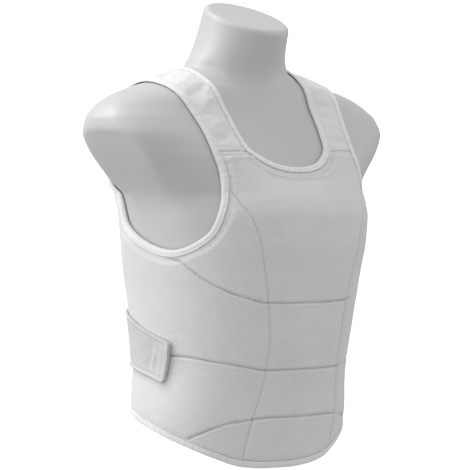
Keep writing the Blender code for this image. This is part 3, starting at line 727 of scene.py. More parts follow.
def front_grid(strap):
    """Centre front: columns hang from the strap seams and the neckline."""
    arm_top = {s: ARM[s].stretch("strap_seam", "princess", YOKE_ROWS)[::-1] for s in (-1, 1)}
    meet = {s: arm_top[s][0, 1] for s in (-1, 1)}
    share = {s: float(arm_top[s][0, 0] / princess_angle(meet[s], s)) for s in (-1, 1)}

    def edge(side):
        def at(z):
            line = arm_top[side]
            low = princess_angle(z, side) * share[side]
            return np.where(np.asarray(z) <= meet[side], low, np.interp(z, line[:, 1], line[:, 0]))
        return at

    tops = list(strap[-1][0])
    tops += list(NECK.stretch("front_right", "strap_seam_right", NECK_FRONT_PIECES // 2)[::-1][1:])
    tops += list(NECK.stretch("strap_seam_left", "front_right", NECK_FRONT_PIECES // 2)[::-1][1:])
    tops += list(strap[1][0][::-1][1:])
    columns = []
    left, right = edge(1), edge(-1)
    for angle, height in tops:
        u = (angle - right(height)) / (left(height) - right(height))
        u = float(min(max(u, 0.0), 1.0))
        path = between(right, left, u)
        knee = min(meet[-1] * (1 - u) + meet[1] * u, height - 12.0)
        lower = column(path, knee)
        z = np.linspace(knee, height, YOKE_ROWS + 1)[1:]
        if u in (0.0, 1.0):
            upper = arm_top[-1 if u == 0.0 else 1][1:].copy()
        else:
            upper = np.stack([path(z), z], -1)
            upper[-1] = (angle, height)
        columns.append(np.concatenate([lower, upper]))
    return np.stack(columns, 1)


def side_grid(side):
    """Side front: from the princess seam round to the side seam."""
    line = ARM[side].stretch("princess", "side_seam", SIDE_TOP_PIECES)
    share_front = float(line[0, 0] / princess_angle(line[0, 1], side))
    share_back = float(line[-1, 0] / side_seam_angle(line[-1, 1], side))

    def front(z):
        return princess_angle(z, side) * share_front

    def back(z):
        return side_seam_angle(z, side) * share_back

    columns = []
    for angle, height in line:
        w = (angle - front(height)) / (back(height) - front(height))
        w = float(min(max(w, 0.0), 1.0))
        c = column(between(front, back, w), height)
        c[-1] = (angle, height)
        columns.append(c)
    return np.stack(columns, 1)


def back_grid(strap):
    """Back: between the side seams, up to the strap seams and the neckline."""
    rear = {}
    for s in (-1, 1):
        line = ARM[s].stretch("side_seam", "back_seam", BLADE_ROWS).copy()
        line[:, 0] %= 2 * math.pi
        rear[s] = line

    def edge(side):
        line = rear[side]
        first = (line[0, 0] + math.pi) % (2 * math.pi) - math.pi
        share = float(first / side_seam_angle(line[0, 1], side))

        def at(z):
            low = (side_seam_angle(z, side) * share) % (2 * math.pi)
            return np.where(np.asarray(z) <= line[0, 1], low, np.interp(z, line[:, 1], line[:, 0]))
        return at

    tops = list(strap[-1][-1])
    tops += list(NECK.stretch("back_seam_right", "back_right", NECK_BACK_PIECES // 2)[1:])
    tops += list(NECK.stretch("back_right", "back_seam_left", NECK_BACK_PIECES // 2)[1:])
    tops += list(strap[1][-1][::-1][1:])
    first, second = edge(-1), edge(1)
    columns = []
    for angle, height in tops:
        angle %= 2 * math.pi
        u = (angle - first(height)) / (second(height) - first(height))
        u = float(min(max(u, 0.0), 1.0))
        path = between(first, second, u)
        knee = rear[-1][0, 1] * (1 - u) + rear[1][0, 1] * u
        lower = column(path, knee)
        if u in (0.0, 1.0):
            upper = rear[-1 if u == 0.0 else 1][1:].copy()
        else:
            z = np.linspace(knee, height, BLADE_ROWS + 1)[1:]
            upper = np.stack([path(z), z], -1)
            upper[-1] = (angle, height)
        columns.append(np.concatenate([lower, upper]))
    return np.stack(columns, 1)


def nudge(grid, column_index, angle_sign, amount=0.12):
    moved = grid.copy()
    on = skin(moved[:, column_index, 0], moved[:, column_index, 1])
    radius = np.hypot(on[:, 0], on[:, 1])
    moved[:, column_index, 0] += angle_sign * amount / radius
    return moved


# ---- the pieces ------------------------------------------------------------
strap_places = {s: strap_grid(s) for s in (-1, 1)}
front = front_grid(strap_places)
sides = {s: side_grid(s) for s in (-1, 1)}
back = back_grid(strap_places)
KNEE = front.shape[0] - YOKE_ROWS - 1


def pillow(wall_at_seam, rise, away):
    """How much thinner the foam is at this distance from a pressed seam."""
    return (PAD_WALL - wall_at_seam) * np.exp(-((away / rise) ** 1.3))


def flat_is_wide(flat):
    return float(np.mean(flat)) > 4.0


def sewn_flat(edge, flat, rise, away):
    """The flat, unpadded strip along an edge, then the foam's rounded step."""
    ridge = 0.0
    if flat_is_wide(flat):
        ridge = 1.3 * bump(away - flat - rise - 0.2, 2.3) - 0.85 * bump(away - flat + 0.8, 1.3)
    return (PAD_WALL - edge) * (1 - step(flat, flat + rise, away)) - ridge


def joined(*parts):
    total = sum(np.clip(p, 0, None) ** 4 for p in parts) ** 0.25
    return total + sum(np.clip(p, None, 0) for p in parts)


def panel(name, places, pressed, flats, bottom, seed):
    """A foam padded panel. pressed and flats are lists of lines of places."""
    on = skin(places[..., 0], places[..., 1])
    thin, gathers = [], np.zeros(places.shape[:2])
    for k, (line, wall_at, rise) in enumerate(pressed):
        away, at = Line(line).reach(on)
        thin.append(pillow(wall_at, rise, away))
        gathers += 0.22 * puckers(at, away, 2 * STITCH_PITCH, 5.5, seed + k)
        gathers -= 0.35 * bump(away - 1.5, 1.1) * (0.5 - 0.5 * np.cos(2 * math.pi * at / STITCH_PITCH))
    for k, (line, flat, rise, edge, deep, dip) in enumerate(flats):
        away, at = Line(line).reach(on)
        wall_here = edge_wall(places[..., 1]) if edge is None else edge
        wide = flat + 0.9 * np.sin(at / 19.0 + k) + 0.5 * np.sin(at / 7.3 + seed)
        thin.append(sewn_flat(wall_here, wide, rise, away))
        gathers += deep * puckers(at, away, 7.0, 8.0, seed + 20 + k) * step(0.0, 1.5, away)
        gathers -= dip * (1 - step(0.0, 2.3, away))
    away, at = Line(places[0]).reach(on)
    thin.append(pillow(bottom, 4.0, away))
    gathers += 0.30 * puckers(at, away, 8.5, 7.0, seed + 40)
    soft = 0.45 * rumple(on, 95.0, seed + 60) + 0.16 * rumple(on, 31.0, seed + 61)
    depth = PAD_WALL - joined(*thin) - quilting(places)
    near_edge = np.clip(sum(thin) / 3.0, 0, 1)
    depth = depth + gathers + soft * (1 - near_edge)
    depth = np.maximum(depth, 1.6)
    return cloth_wall(name, places, PAD_GAP, PAD_GAP + depth)


placed = nudge(nudge(front, 0, 1), -1, -1)
yoke = {-1: placed[KNEE:, 0], 1: placed[KNEE:, -1]}
front_piece = panel(
    "front_center_cloth", placed,
    [(placed[: KNEE + 1, 0], PRINCESS_CUT, 2.6), (placed[: KNEE + 1, -1], PRINCESS_CUT, 2.6)],
    [
        (placed[-1, STRAP_ACROSS : -STRAP_ACROSS], 8.2, 3.0, None, 0.75, 0.9),
        (placed[-1, : STRAP_ACROSS + 1], 6.4, 3.2, None, 0.36, 1.3),
        (placed[-1, -STRAP_ACROSS - 1 :], 6.4, 3.2, None, 0.36, 1.3),
        (yoke[-1], 1.8, 7.0, None, 0.65, 0.8),
        (yoke[1], 1.8, 7.0, None, 0.65, 0.8),
    ],
    6.0, 3,
)
side_pieces = {}
for s in (-1, 1):
    grid = nudge(nudge(sides[s], 0, s), -1, -s)
    side_pieces[s] = panel(
        "front_side_%s_cloth" % SIDE[s], grid,
        [(grid[:, 0], PRINCESS_CUT, 2.6), (grid[:, -1], 5.6, 3.0)],
        [(grid[-1], 3.2, 6.0, 5.6, 0.50, 0.7)],
        6.0, 11 + s,
    )

# soft folds of the back: angle and height of its ends in
# degrees and mm, half width, depth (+ stands out)
BACK_FOLDS = [
    (150, 262, 163, 246, 9, -0.9), (-151, 256, -166, 243, 8, -0.8),
    (141, 218, 158, 205, 11, 0.8), (-143, 212, -160, 203, 10, 0.8),
    (168, 196, -170, 191, 13, -0.9), (160, 118, 178, 110, 12, -0.7),
    (-162, 131, -178, 127, 11, 0.6), (146, 330, 158, 352, 8, -0.9),
    (-147, 334, -160, 350, 8, -0.8), (174, 392, -176, 388, 9, 0.6),
    (152, 384, 158, 412, 7, 0.7), (-153, 380, -159, 408, 7, 0.6),
]


def folds(rows, on, reach_of=skin):
    """Soft troughs and ridges between pairs of places on the skin."""
    total = np.zeros(on.shape[:-1])
    for k, (a0, z0, a1, z1, half, deep) in enumerate(rows):
        if a1 - a0 > 180:
            a1 -= 360
        if a1 - a0 < -180:
            a1 += 360
        t = np.linspace(0, 1, 25)
        bow = 5.0 * np.sin(math.pi * t) * (1 if k % 2 else -1)
        path = skin(np.radians(a0 + (a1 - a0) * t), z0 + (z1 - z0) * t + bow)
        best = np.full(on.shape[:-1], 1e9)
        best_t = np.zeros(on.shape[:-1])
        for i in range(len(t) - 1):
            d = path[i + 1] - path[i]
            w = np.clip(((on - path[i]) @ d) / (d @ d), 0, 1)
            gap = np.linalg.norm(on - path[i] - w[..., None] * d, axis=-1)
            nearer = gap < best
            best = np.where(nearer, gap, best)
            best_t = np.where(nearer, t[i] + w * (t[i + 1] - t[i]), best_t)
        ends = np.sin(math.pi * np.clip(best_t, 0.04, 0.96)) ** 0.6
        total += deep * ends * bump(best, half)
    return total


grid = nudge(nudge(back, 0, -1), -1, 1)
on = skin(grid[..., 0], grid[..., 1])
blade = BLADE_ROWS
thin, gathers = [], np.zeros(grid.shape[:2])
for k, (line, wall_at, rise) in enumerate((
    (grid[:-blade, 0], 3.9, 3.0), (grid[:-blade, -1], 3.9, 3.0),
    (grid[-blade - 1 :, 0], BACK_EDGE_WALL - 0.8, 5.0), (grid[-blade - 1 :, -1], BACK_EDGE_WALL - 0.8, 5.0),
    (grid[0], BACK_WALL - 0.5, 4.0),
)):
    away, at = Line(line).reach(on)
    thin.append((BACK_WALL + 0.9 - wall_at) * np.exp(-((away / rise) ** 1.3)))
    gathers += 0.24 * puckers(at, away, 8.3, 7.0, 70 + k)
away, at = Line(grid[-1]).reach(on)
thin.append((BACK_WALL + 0.9 - STRAP_WALL - 0.4) * (1 - step(7.0, 13.0, away)))
gathers += 0.2 * puckers(at, away, 8.3, 8.0, 77)
depth = BACK_WALL + 0.9 - joined(*thin) + gathers + folds(BACK_FOLDS, on)
depth += 0.35 * rumple(on, 110.0, 71) + 0.12 * rumple(on, 36.0, 72)
# the cloth spans the hollow below the shoulder blades instead of following it
reach_there = lambda height: np.hypot(*np.moveaxis(skin(grid[..., 0], height)[..., :2], -1, 0))
spread = [(d, math.exp(-((d / 21.0) ** 2))) for d in range(-44, 45, 4)]
evened = sum(w * reach_there(grid[..., 1] + d) for d, w in spread) / sum(w for _, w in spread)
rim_line = np.concatenate([grid[0], grid[:, -1], grid[-1, ::-1], grid[::-1, 0]])
away, at = Line(rim_line).reach(on)
span = np.clip(evened - reach_there(grid[..., 1]) - 0.1, 0, 3.0) * step(1.0, 16.0, away)
back_piece = cloth_wall("back_panel_cloth", grid, BACK_GAP + span, BACK_GAP + span + np.maximum(depth, 1.8))

# creases of the straps: place along (0 front seam, 1 back seam) and across
# (0 armhole, 1 neck) of each end, half width, depth (+ stands out)
STRAP_FOLDS = {
    -1: [
        (0.35, 0.02, 0.40, 0.96, 6.5, -1.9), (0.275, 0.30, 0.315, 1.0, 4.2, 1.0),
        (0.075, 0.06, 0.105, 0.72, 5.5, -1.5), (0.15, 0.22, 0.18, 0.95, 5.5, 0.7),
        (0.45, 0.10, 0.50, 0.92, 7.0, 0.9), (0.21, 0.0, 0.225, 0.45, 3.6, -0.8),
        (0.02, 0.55, 0.065, 0.97, 3.5, 0.6), (0.56, 0.05, 0.60, 0.9, 6.0, -1.5),
        (0.66, 0.2, 0.69, 0.98, 5.0, 0.8), (0.77, 0.04, 0.74, 0.7, 5.5, -1.2),
        (0.86, 0.3, 0.88, 0.95, 5.0, 0.6), (0.93, 0.05, 0.91, 0.6, 4.5, -0.9),
    ],
    1: [
        (0.06, 0.20, 0.085, 0.93, 5.0, -1.5), (0.13, 0.06, 0.17, 0.80, 5.0, 0.8),
        (0.31, 0.04, 0.28, 0.90, 6.0, -1.4), (0.38, 0.15, 0.37, 0.98, 5.0, 0.8),
        (0.22, 0.5, 0.23, 1.0, 4.0, -0.6), (0.48, 0.08, 0.52, 0.85, 7.0, 0.8),
        (0.60, 0.10, 0.57, 0.95, 6.0, -1.4), (0.71, 0.05, 0.73, 0.85, 5.0, 0.7),
        (0.81, 0.15, 0.79, 0.95, 5.5, -1.1), (0.90, 0.1, 0.92, 0.8, 4.5, -0.8),
    ],
}


def strap_shape(s, places):
    rows, columns = places.shape[:2]
    u = np.linspace(0, 1, rows)[:, None] * np.ones(columns)
    t = np.linspace(0, 1, columns)[None, :] * np.ones((rows, 1))
    on = skin(places[..., 0], places[..., 1])
    length = along_line(on[:, columns // 2])[-1]
    width = np.linalg.norm(on[:, -1] - on[:, 0], axis=1)[:, None] * np.ones(columns)
    crown = 1.7 * np.sin(math.pi * t) ** 0.8 * step(0, 0.05, u) * step(1, 0.95, u)
    total = np.zeros((rows, columns))
    for k, (u0, t0, u1, t1, half, deep) in enumerate(STRAP_FOLDS[s]):
        share = np.clip((t - t0) / (t1 - t0), 0, 1)
        bow = 0.012 * np.sin(math.pi * share) * (1 if k % 2 else -1)
        centre = u0 + (u1 - u0) * share + bow
        across = np.clip(np.maximum(t0 - t, t - t1), 0, None) * width
        d = np.hypot((u - centre) * length, across * 0.8)
        wide = half * (1 + 0.25 * np.sin(5 * share + k))
        total += 1.7 * deep * bump(d, wide) * (0.55 + 0.45 * np.sin(math.pi * share))
    edge = np.minimum(t, 1 - t) * width
    sideways = 0.25 * np.sin(2 * math.pi * u * length / 8.6 + 1.7 * np.sin(u * length / 21.0) + s + edge * 0.15) * np.exp(-edge / 7.0)
    seam_away = np.minimum(u, 1 - u) * length
    at = t * width
    gather = 0.32 * np.sin(2 * math.pi * at / 8.2 + 1.1 * s + 0.2 * seam_away) * np.exp(-seam_away / 8.0) * step(0.0, 3.0, seam_away)
    ridges = 0.9 * bump(seam_away - 2.9, 1.9) - 0.35 * bump(seam_away - 5.6, 1.2) - 1.5 * (1 - step(0.0, 2.0, seam_away))
    small = 0.16 * rumple(on, 17.0, 80 + s) + 0.3 * rumple(on, 46.0, 83 + s)
    keep = step(0.0, 5.0, edge)
    return crown + (total + small) * keep * step(0, 4, seam_away) + sideways + gather + ridges


strap_pieces = {}
for s in (-1, 1):
    places = strap_places[s].copy()
    for row in (0, -1):
        places[row, :, 1] += 0.15
    shape = strap_shape(s, places)
    outer = STRAP_GAP + STRAP_WALL + np.maximum(shape, -1.2)
    inner = STRAP_GAP + 0.2 + np.maximum(shape, -0.75)
    strap_pieces[s] = cloth_wall("strap_%s_cloth" % SIDE[s], places, inner, outer)

# ---- edge tapes --------------------------------------------------------------
arm_tapes, arm_lines = {}, {}
for s in (-1, 1):
    edge = 0 if s < 0 else -1
    pieces_of = [
        (strap_places[s][::-1, 0][:-1], lambda z: STRAP_GAP + STRAP_WALL + 0 * z),
        (front[::-1, edge][:YOKE_ROWS], lambda z: PAD_GAP + edge_wall(z)),
        (sides[s][-1], lambda z: PAD_GAP + edge_wall(z)),
        (back[-BLADE_ROWS:-1, edge], lambda z: BACK_GAP + BACK_EDGE_WALL + 0 * z),
    ]
    line = np.concatenate([p for p, _ in pieces_of])
    held = np.concatenate([f(p[:, 1]) for p, f in pieces_of])
    arm_tapes[s], arm_lines[s] = tape(
        "armhole_tape_" + SIDE[s], line, held, (s * 170.0, 10.0, 380.0), 5 + s
    )

pieces_of = [
    (strap_places[-1][::-1, -1][:-1], lambda z: STRAP_GAP + STRAP_WALL + 0 * z),
    (front[-1, STRAP_ACROSS : -STRAP_ACROSS - 1], lambda z: PAD_GAP + edge_wall(z)),
    (strap_places[1][:-1, -1], lambda z: STRAP_GAP + STRAP_WALL + 0 * z),
    (back[-1, ::-1][STRAP_ACROSS : -STRAP_ACROSS - 1], lambda z: BACK_GAP + STRAP_WALL + 0.4 + 0 * z),
]
line = np.concatenate([p for p, _ in pieces_of])
held = np.concatenate([f(p[:, 1]) for p, f in pieces_of])
neck_tape, neck_line = tape("neck_tape", line, held, (0.0, 5.0, 520.0), 9)

bottom = np.concatenate([front[0, :-1], sides[1][0, :-1], back[0, ::-1][:-1], sides[-1][0, ::-1][:-1]])
from_front = np.abs((bottom[:, 0] + math.pi) % (2 * math.pi) - math.pi)
held = np.where(from_front < math.radians(127.5), PAD_GAP + HEM_WALL, BACK_GAP + BACK_WALL)
hem_tape, hem_line = tape("hem_tape", bottom, held - 0.2, None, 14, drop=True)

# ---- closure straps ----------------------------------------------------------
closures, closure_places = {}, {}
for s in (-1, 1):
    stations = np.linspace(0, len(CLOSURE) - 1, 111)
    index = np.arange(len(CLOSURE))
    top_a, top_z, low_a, low_z = (monotone(index, [r[k] for r in CLOSURE], stations) for k in range(4))
    rows = []
    for share in np.linspace(0, 1, 37):
        angle = np.radians(low_a + (top_a - low_a) * share) * s
        rows.append(np.stack([angle, low_z + (top_z - low_z) * share], -1))
    places = np.stack(rows)
    # the free end's lower corner is rounded off, the upper one less
    share = np.linspace(0, 1, 37)[:, None]
    corner = 2.2 * np.clip(1 - share / 0.12, 0, 1) ** 2 + 1.0 * np.clip((share - 0.9) / 0.1, 0, 1) ** 2 - 4.5
    near_end = np.clip(1 - np.linspace(0, 1, 111) / 0.22, 0, 1)[None, :] ** 1.5
    places[..., 0] += s * corner * near_end / 150.0
    on = skin(places[..., 0], places[..., 1])
    run = np.stack([along_line(on[r]) for r in range(len(on))])
    high = np.stack([along_line(on[:, c]) for c in range(on.shape[1])], 1)
    from_edge = np.minimum(high, high[-1][None, :] - high)
    off = table(CLOSURE_STANDOFF, np.degrees(np.abs(places[..., 0])))
    curl = 3.6 * (1 - step(0.0, 20.0, run)) * (0.8 + 0.3 * share)
    band = 1.15 * (1 - step(6.2, 7.2, run)) - 1.0 * bump(run - 7.9, 1.1) - 0.55 * bump(run - 2.2, 0.65) - 0.5 * bump(run - 5.2, 0.6)
    folded = 0.9 * (1 - step(2.8, 3.7, from_edge)) - 0.85 * bump(from_edge - 4.4, 1.0)
    upright = 1.3 * bump(run - 22.0 - 1.6 * np.sin(high / 9.0), 2.4) * bump(high - 0.52 * high[-1][None, :], 15.0)
    hollow = -1.0 * bump(run - 28.0 - 1.0 * np.sin(high / 7.0), 4.5) * bump(high - 0.5 * high[-1][None, :], 19.0)
    waves = 0.22 * rumple(on, 24.0, 90 + s) + 0.5 * np.sin(run / 19.0 + 0.6 * s) * step(20, 45, run) * step(170, 130, run) * 0.5
    ripple = 0.16 * np.sin(2 * math.pi * run / 7.8 + np.sin(run / 13.0)) * np.exp(-from_edge / 5.0)
    body = off + curl + np.maximum(waves, -0.3)
    # the free end is folded back under itself, so it stands thicker
    places_of_inner = off + 0.2 * curl + np.maximum(waves, -0.3) * step(0, 20, run)
    outer = body + 2.1 + np.maximum(band, 0) + folded * (run > 6.8) + np.minimum(band, 0) + upright + hollow + ripple
    closures[s] = cloth_wall("closure_strap_%s_cloth" % SIDE[s], places, places_of_inner, outer)
    closure_places[s] = places


# ---- the torso form ----------------------------------------------------------
def softer_min(a, b, width):
    """The lower of two values, with the corner between them rounded."""
    h = np.clip(0.5 + 0.5 * (b - a) / width, 0, 1)
    return b * (1 - h) + a * h - width * h * (1 - h)


def form_point(phi, z):
    """Point of the form's surface, with its cut shoulders."""
    def reach_at(height):
        on = skin(phi, height)
        r = np.hypot(on[..., 0], on[..., 1] - table(TORSO, height, 2))
        x0, z0, slope = ARM_CUT
        plane = np.where(height < 476.0, x0 + slope * np.maximum(height - z0, 0), 1e4)
        cut = plane / np.maximum(np.abs(np.sin(phi)), 1e-3)
        kept = softer_min(r, cut, 2.6)
        return np.where(height < z0 - 2.0, r, kept)

    # the hollow of the armpit runs softly into the shoulder
    turn = np.degrees(np.abs((phi + math.pi) % (2 * math.pi) - math.pi))
    # (behind the arm it starts above the cloth's edge, which lies close there)
    start = 308.0 + 52.0 * step(92.0, 103.0, turn)
    soft = step(56.0, 76.0, turn) * step(122.0, 104.0, turn) * step(446, 400, z)
    soft = soft * step(0.0, 1.0, (z - start) / 32.0)
    around = sum(w * reach_at(z + d) for d, w in SOFT_ARMPIT)
    kept = reach_at(z) * (1 - soft) + around * soft
    s, c = np.sin(phi), np.cos(phi)
    return np.stack([kept * s, table(TORSO, z, 2) - kept * c, z], -1)


# offsets in height over which the armpit is evened out, and their shares
SOFT_ARMPIT = [(d, math.exp(-((d / 21.0) ** 2))) for d in range(-44, 45, 2)]
SOFT_ARMPIT = [(d, w / sum(x for _, x in SOFT_ARMPIT)) for d, w in SOFT_ARMPIT]


RIM = 7.0      # how far the edge of the neck's cut is rounded over


def torso():
    count = 288
    even = np.linspace(0, 2 * math.pi, count, endpoint=False)
    angles = even + 0.20 * np.sin(2 * even)          # closer together at the cut shoulders
    low = hem_height(angles) + HEM_TUCK
    foot = np.stack([FOOT_HALF_WIDTH * np.sin(angles), FOOT_CENTRE_Y - FOOT_HALF_DEPTH * np.cos(angles)], -1)

    def underside(scale, drop, mix):
        edge = skin(angles, low)
        centre = np.array([0.0, FOOT_CENTRE_Y])
        flat = centre + (edge[:, :2] - centre) * scale
        flat = flat * (1 - mix) + foot * mix
        return np.column_stack([flat, (low - drop) * (1 - mix) + FOOT_HEIGHT * mix])

    centre = np.array([0.0, FOOT_CENTRE_Y])
    rings = [
        np.column_stack([centre + (foot - centre) * k, np.full(count, FOOT_BASE)])
        for k in (0.05, 0.25, 0.5, 0.75, 0.93)
    ]
    for k, up in ((0.965, 0.25), (0.988, 0.9), (1.0, 2.0), (1.0, 6.0), (1.0, 11.0)):
        rings.append(np.column_stack([centre + (foot - centre) * k, np.full(count, FOOT_BASE + up)]))
    rings.append(np.column_stack([foot, np.full(count, FOOT_HEIGHT)]))
    stops = [(0.82, 13.0, 0.6), (0.82, 13.0, 0.25), (0.86, 12.5, 0.0), (0.94, 9.0, 0.0), (0.985, 4.0, 0.0)]
    for k, stop in enumerate(stops):
        if k:
            before = stops[k - 1]
            for t in (0.33, 0.66):
                rings.append(underside(*(a + (b - a) * t for a, b in zip(before, stop))))
        rings.append(underside(*stop))
    for share in np.linspace(0, 1, 14)[:-1]:
        rings.append(skin(angles, low + (128.0 - low) * share))
    heights = np.concatenate([
        np.arange(128, 300, 4.0), np.arange(300, 476, 2.0), np.arange(476, 514, 1.5), [514.0],
    ])
    # the foot of the neck flows into the shoulders
    neck_spread = [(d, math.exp(-((d / 15.0) ** 2))) for d in range(-28, 29, 2)]
    neck_whole = sum(w for _, w in neck_spread)

    def neck_flow(points):
        phi = angles
        even_out = sum(w / neck_whole * skin(phi, points[:, 2] + d)[:, :2] for d, w in neck_spread)
        turn = np.degrees(np.abs((phi + math.pi) % (2 * math.pi) - math.pi))
        lowest = 505.0 - 42.0 * (step(74.0, 22.0, turn) + step(112.0, 170.0, turn))
        share = (step(lowest, lowest + 15.0, points[:, 2]) * step(556, 534, points[:, 2]))[:, None]
        points[:, :2] = points[:, :2] * (1 - share) + even_out * share
        return points

    for h in heights:
        rings.append(neck_flow(form_point(angles, np.full(count, float(h)))))
    y0, z0, slope = NECK_CUT
    top = np.full(count, 560.0)
    for _ in range(14):
        top = z0 + slope * (skin(angles, top)[:, 1] - y0)
    start = 514.0
    for t in np.linspace(0, 1, 36)[1:]:
        z = start + (top - RIM - start) * t
        rings.append(neck_flow(skin(angles, z)))
    # the rounded rim of the neck's cut face, then the face
    rim = skin(angles, top)
    middle = np.array([rim[:, 0].mean(), rim[:, 1].mean()])
    below = skin(angles, top - RIM)
    tilt = np.array([0.0, -slope, 1.0]) / math.hypot(1.0, slope)
    for a in np.radians((11, 22, 33, 45, 56, 67, 78, 90)):
        inward = RIM * (1 - math.cos(a))
        reach = np.linalg.norm(rim[:, :2] - middle, axis=1)
        scale = (reach - inward) / reach
        lifted = RIM * math.sin(a)
        base = below + (rim - below) * (lifted / RIM)
        flat = middle + (base[:, :2] - middle) * scale[:, None]
        z = z0 + slope * (flat[:, 1] - y0) - RIM * (1 - math.sin(a))
        rings.append(np.column_stack([flat, z]))
    last = rings[-1]
    for k in (0.93, 0.8, 0.6, 0.4, 0.2, 0.05):
        flat = middle + (last[:, :2] - middle) * k
        rings.append(np.column_stack([flat, z0 + slope * (flat[:, 1] - y0)]))
    total = len(rings)
    points = np.concatenate(rings)
    ends = np.array([[0.0, FOOT_CENTRE_Y, FOOT_BASE], [*middle, z0 + slope * (middle[1] - y0)]])
    index = np.arange(total * count).reshape(total, count)
    quads = np.stack([index[:-1], np.roll(index[:-1], -1, 1), np.roll(index[1:], -1, 1), index[1:]], -1).reshape(-1, 4)
    mesh = bpy.data.meshes.new("torso_form_shell")
    fans = [(total * count, int(b), int(a)) for a, b in zip(index[0], np.roll(index[0], -1))]
    fans += [(total * count + 1, int(a), int(b)) for a, b in zip(index[-1], np.roll(index[-1], -1))]
    moved = (np.concatenate([points, ends]) + (0, DEPTH_SHIFT, HEIGHT_SHIFT)) * MM
    mesh.from_pydata([tuple(p) for p in moved], [], [tuple(int(i) for i in q) for q in quads] + fans)
    mesh.shade_smooth()
    obj = bpy.data.objects.new("torso_form_shell", mesh)
    bpy.context.scene.collection.objects.link(obj)
    return obj


form = torso()

# ---- stitching ---------------------------------------------------------------
def closed_line(places):
    return np.concatenate([places, places[:1]])


for s in (-1, 1):
    sew(arm_tapes[s], closed_line(arm_lines[s](STITCH_AT)), "tape")
sew(neck_tape, closed_line(neck_line(STITCH_AT)), "tape")
sew(hem_tape, closed_line(hem_line(STITCH_AT)), "tape")


def shifted(places, by):
    """A line of places moved down the skin by this many mm."""
    moved = places.copy()
    moved[:, 1] -= by
    return moved


def inset(grid, line, by, inside):
    """A line of places moved in from an edge of a grid by this many mm."""
    on = skin(line[:, 0], line[:, 1])
    normal = outward(line[:, 0], line[:, 1])
    tangent = np.gradient(on, axis=0)
    across = np.cross(normal, tangent)
    across /= np.linalg.norm(across, axis=1, keepdims=True)
    if (across * (np.asarray(inside) - on)).sum() < 0:
        across = -across
    return np.stack(on_skin(on + by * across), -1)


for s in (-1, 1):
    owner = strap_pieces[s]
    places = strap_places[s]
    for row, sign in ((0, 1), (-1, -1)):
        inside = skin(*places[sign * 20 if sign > 0 else -21, STRAP_ACROSS // 2])
        for by in (5.6,):
            line = inset(places, places[row][2:-2], by, inside)
            sew(owner, line, "cloth")
# the row that holds down the flat strip below the neckline
chest = skin(0.0, 330.0)
sew(front_piece, inset(placed, placed[-1, STRAP_ACROSS + 1 : -STRAP_ACROSS - 1], 7.4, chest), "cloth")
for s in (-1, 1):
    edge = 0 if s < 0 else -1
    seam = placed[2 : KNEE - 1, edge]
    sew(front_piece, inset(placed, seam, 1.5, skin(0.0, 200.0)), "cloth", pitch=STITCH_PITCH, length=2.9, half=0.36)
    part = back[2 : -BLADE_ROWS, edge]
    sew(back_piece, inset(back, part, 2.6, skin(math.pi, 200.0)), "cloth", pitch=STITCH_PITCH, length=2.9, half=0.36)
for s in (-1, 1):
    owner, places = closures[s], closure_places[s]
    centre = skin(*places[18, 60])
    for by in (2.0, 5.4):
        sew(owner, inset(places, places[1:-1, 0], by, centre), "cloth", pitch=3.4, length=2.5, half=0.38)
    for row in (0, -1):
        sew(owner, inset(places, places[row][4:-3], 2.7, centre), "cloth", pitch=3.4, length=2.5, half=0.38)
    for by in (3.0, 16.0):
        sew(owner, inset(places, places[1:-1, -1], by, centre), "cloth", pitch=3.4, length=2.5, half=0.38)
threads = thread_objects()


# ---- finishes ----------------------------------------------------------------
def principled(name, roughness):
    material = bpy.data.materials.new(name)
    material.use_nodes = True
    nodes, links = material.node_tree.nodes, material.node_tree.links
    surface = nodes["Principled BSDF"]
    surface.inputs["Roughness"].default_value = roughness
    surface.inputs["Metallic"].default_value = 0.0
    return material, nodes, links, surface


def math_node(nodes, links, operation, a, b):
    node = nodes.new("ShaderNodeMath")
    node.operation = operation
    for socket, value in zip(node.inputs, (a, b)):
        if isinstance(value, (int, float)):
            socket.default_value = value
        else:
            links.new(value, socket)
    return node.outputs[0]


def ranged(nodes, links, value, low, high, new_low, new_high):
    node = nodes.new("ShaderNodeMapRange")
    links.new(value, node.inputs[0])
    for k, v in enumerate((low, high, new_low, new_high)):
        node.inputs[k + 1].default_value = v
    return node.outputs[0]


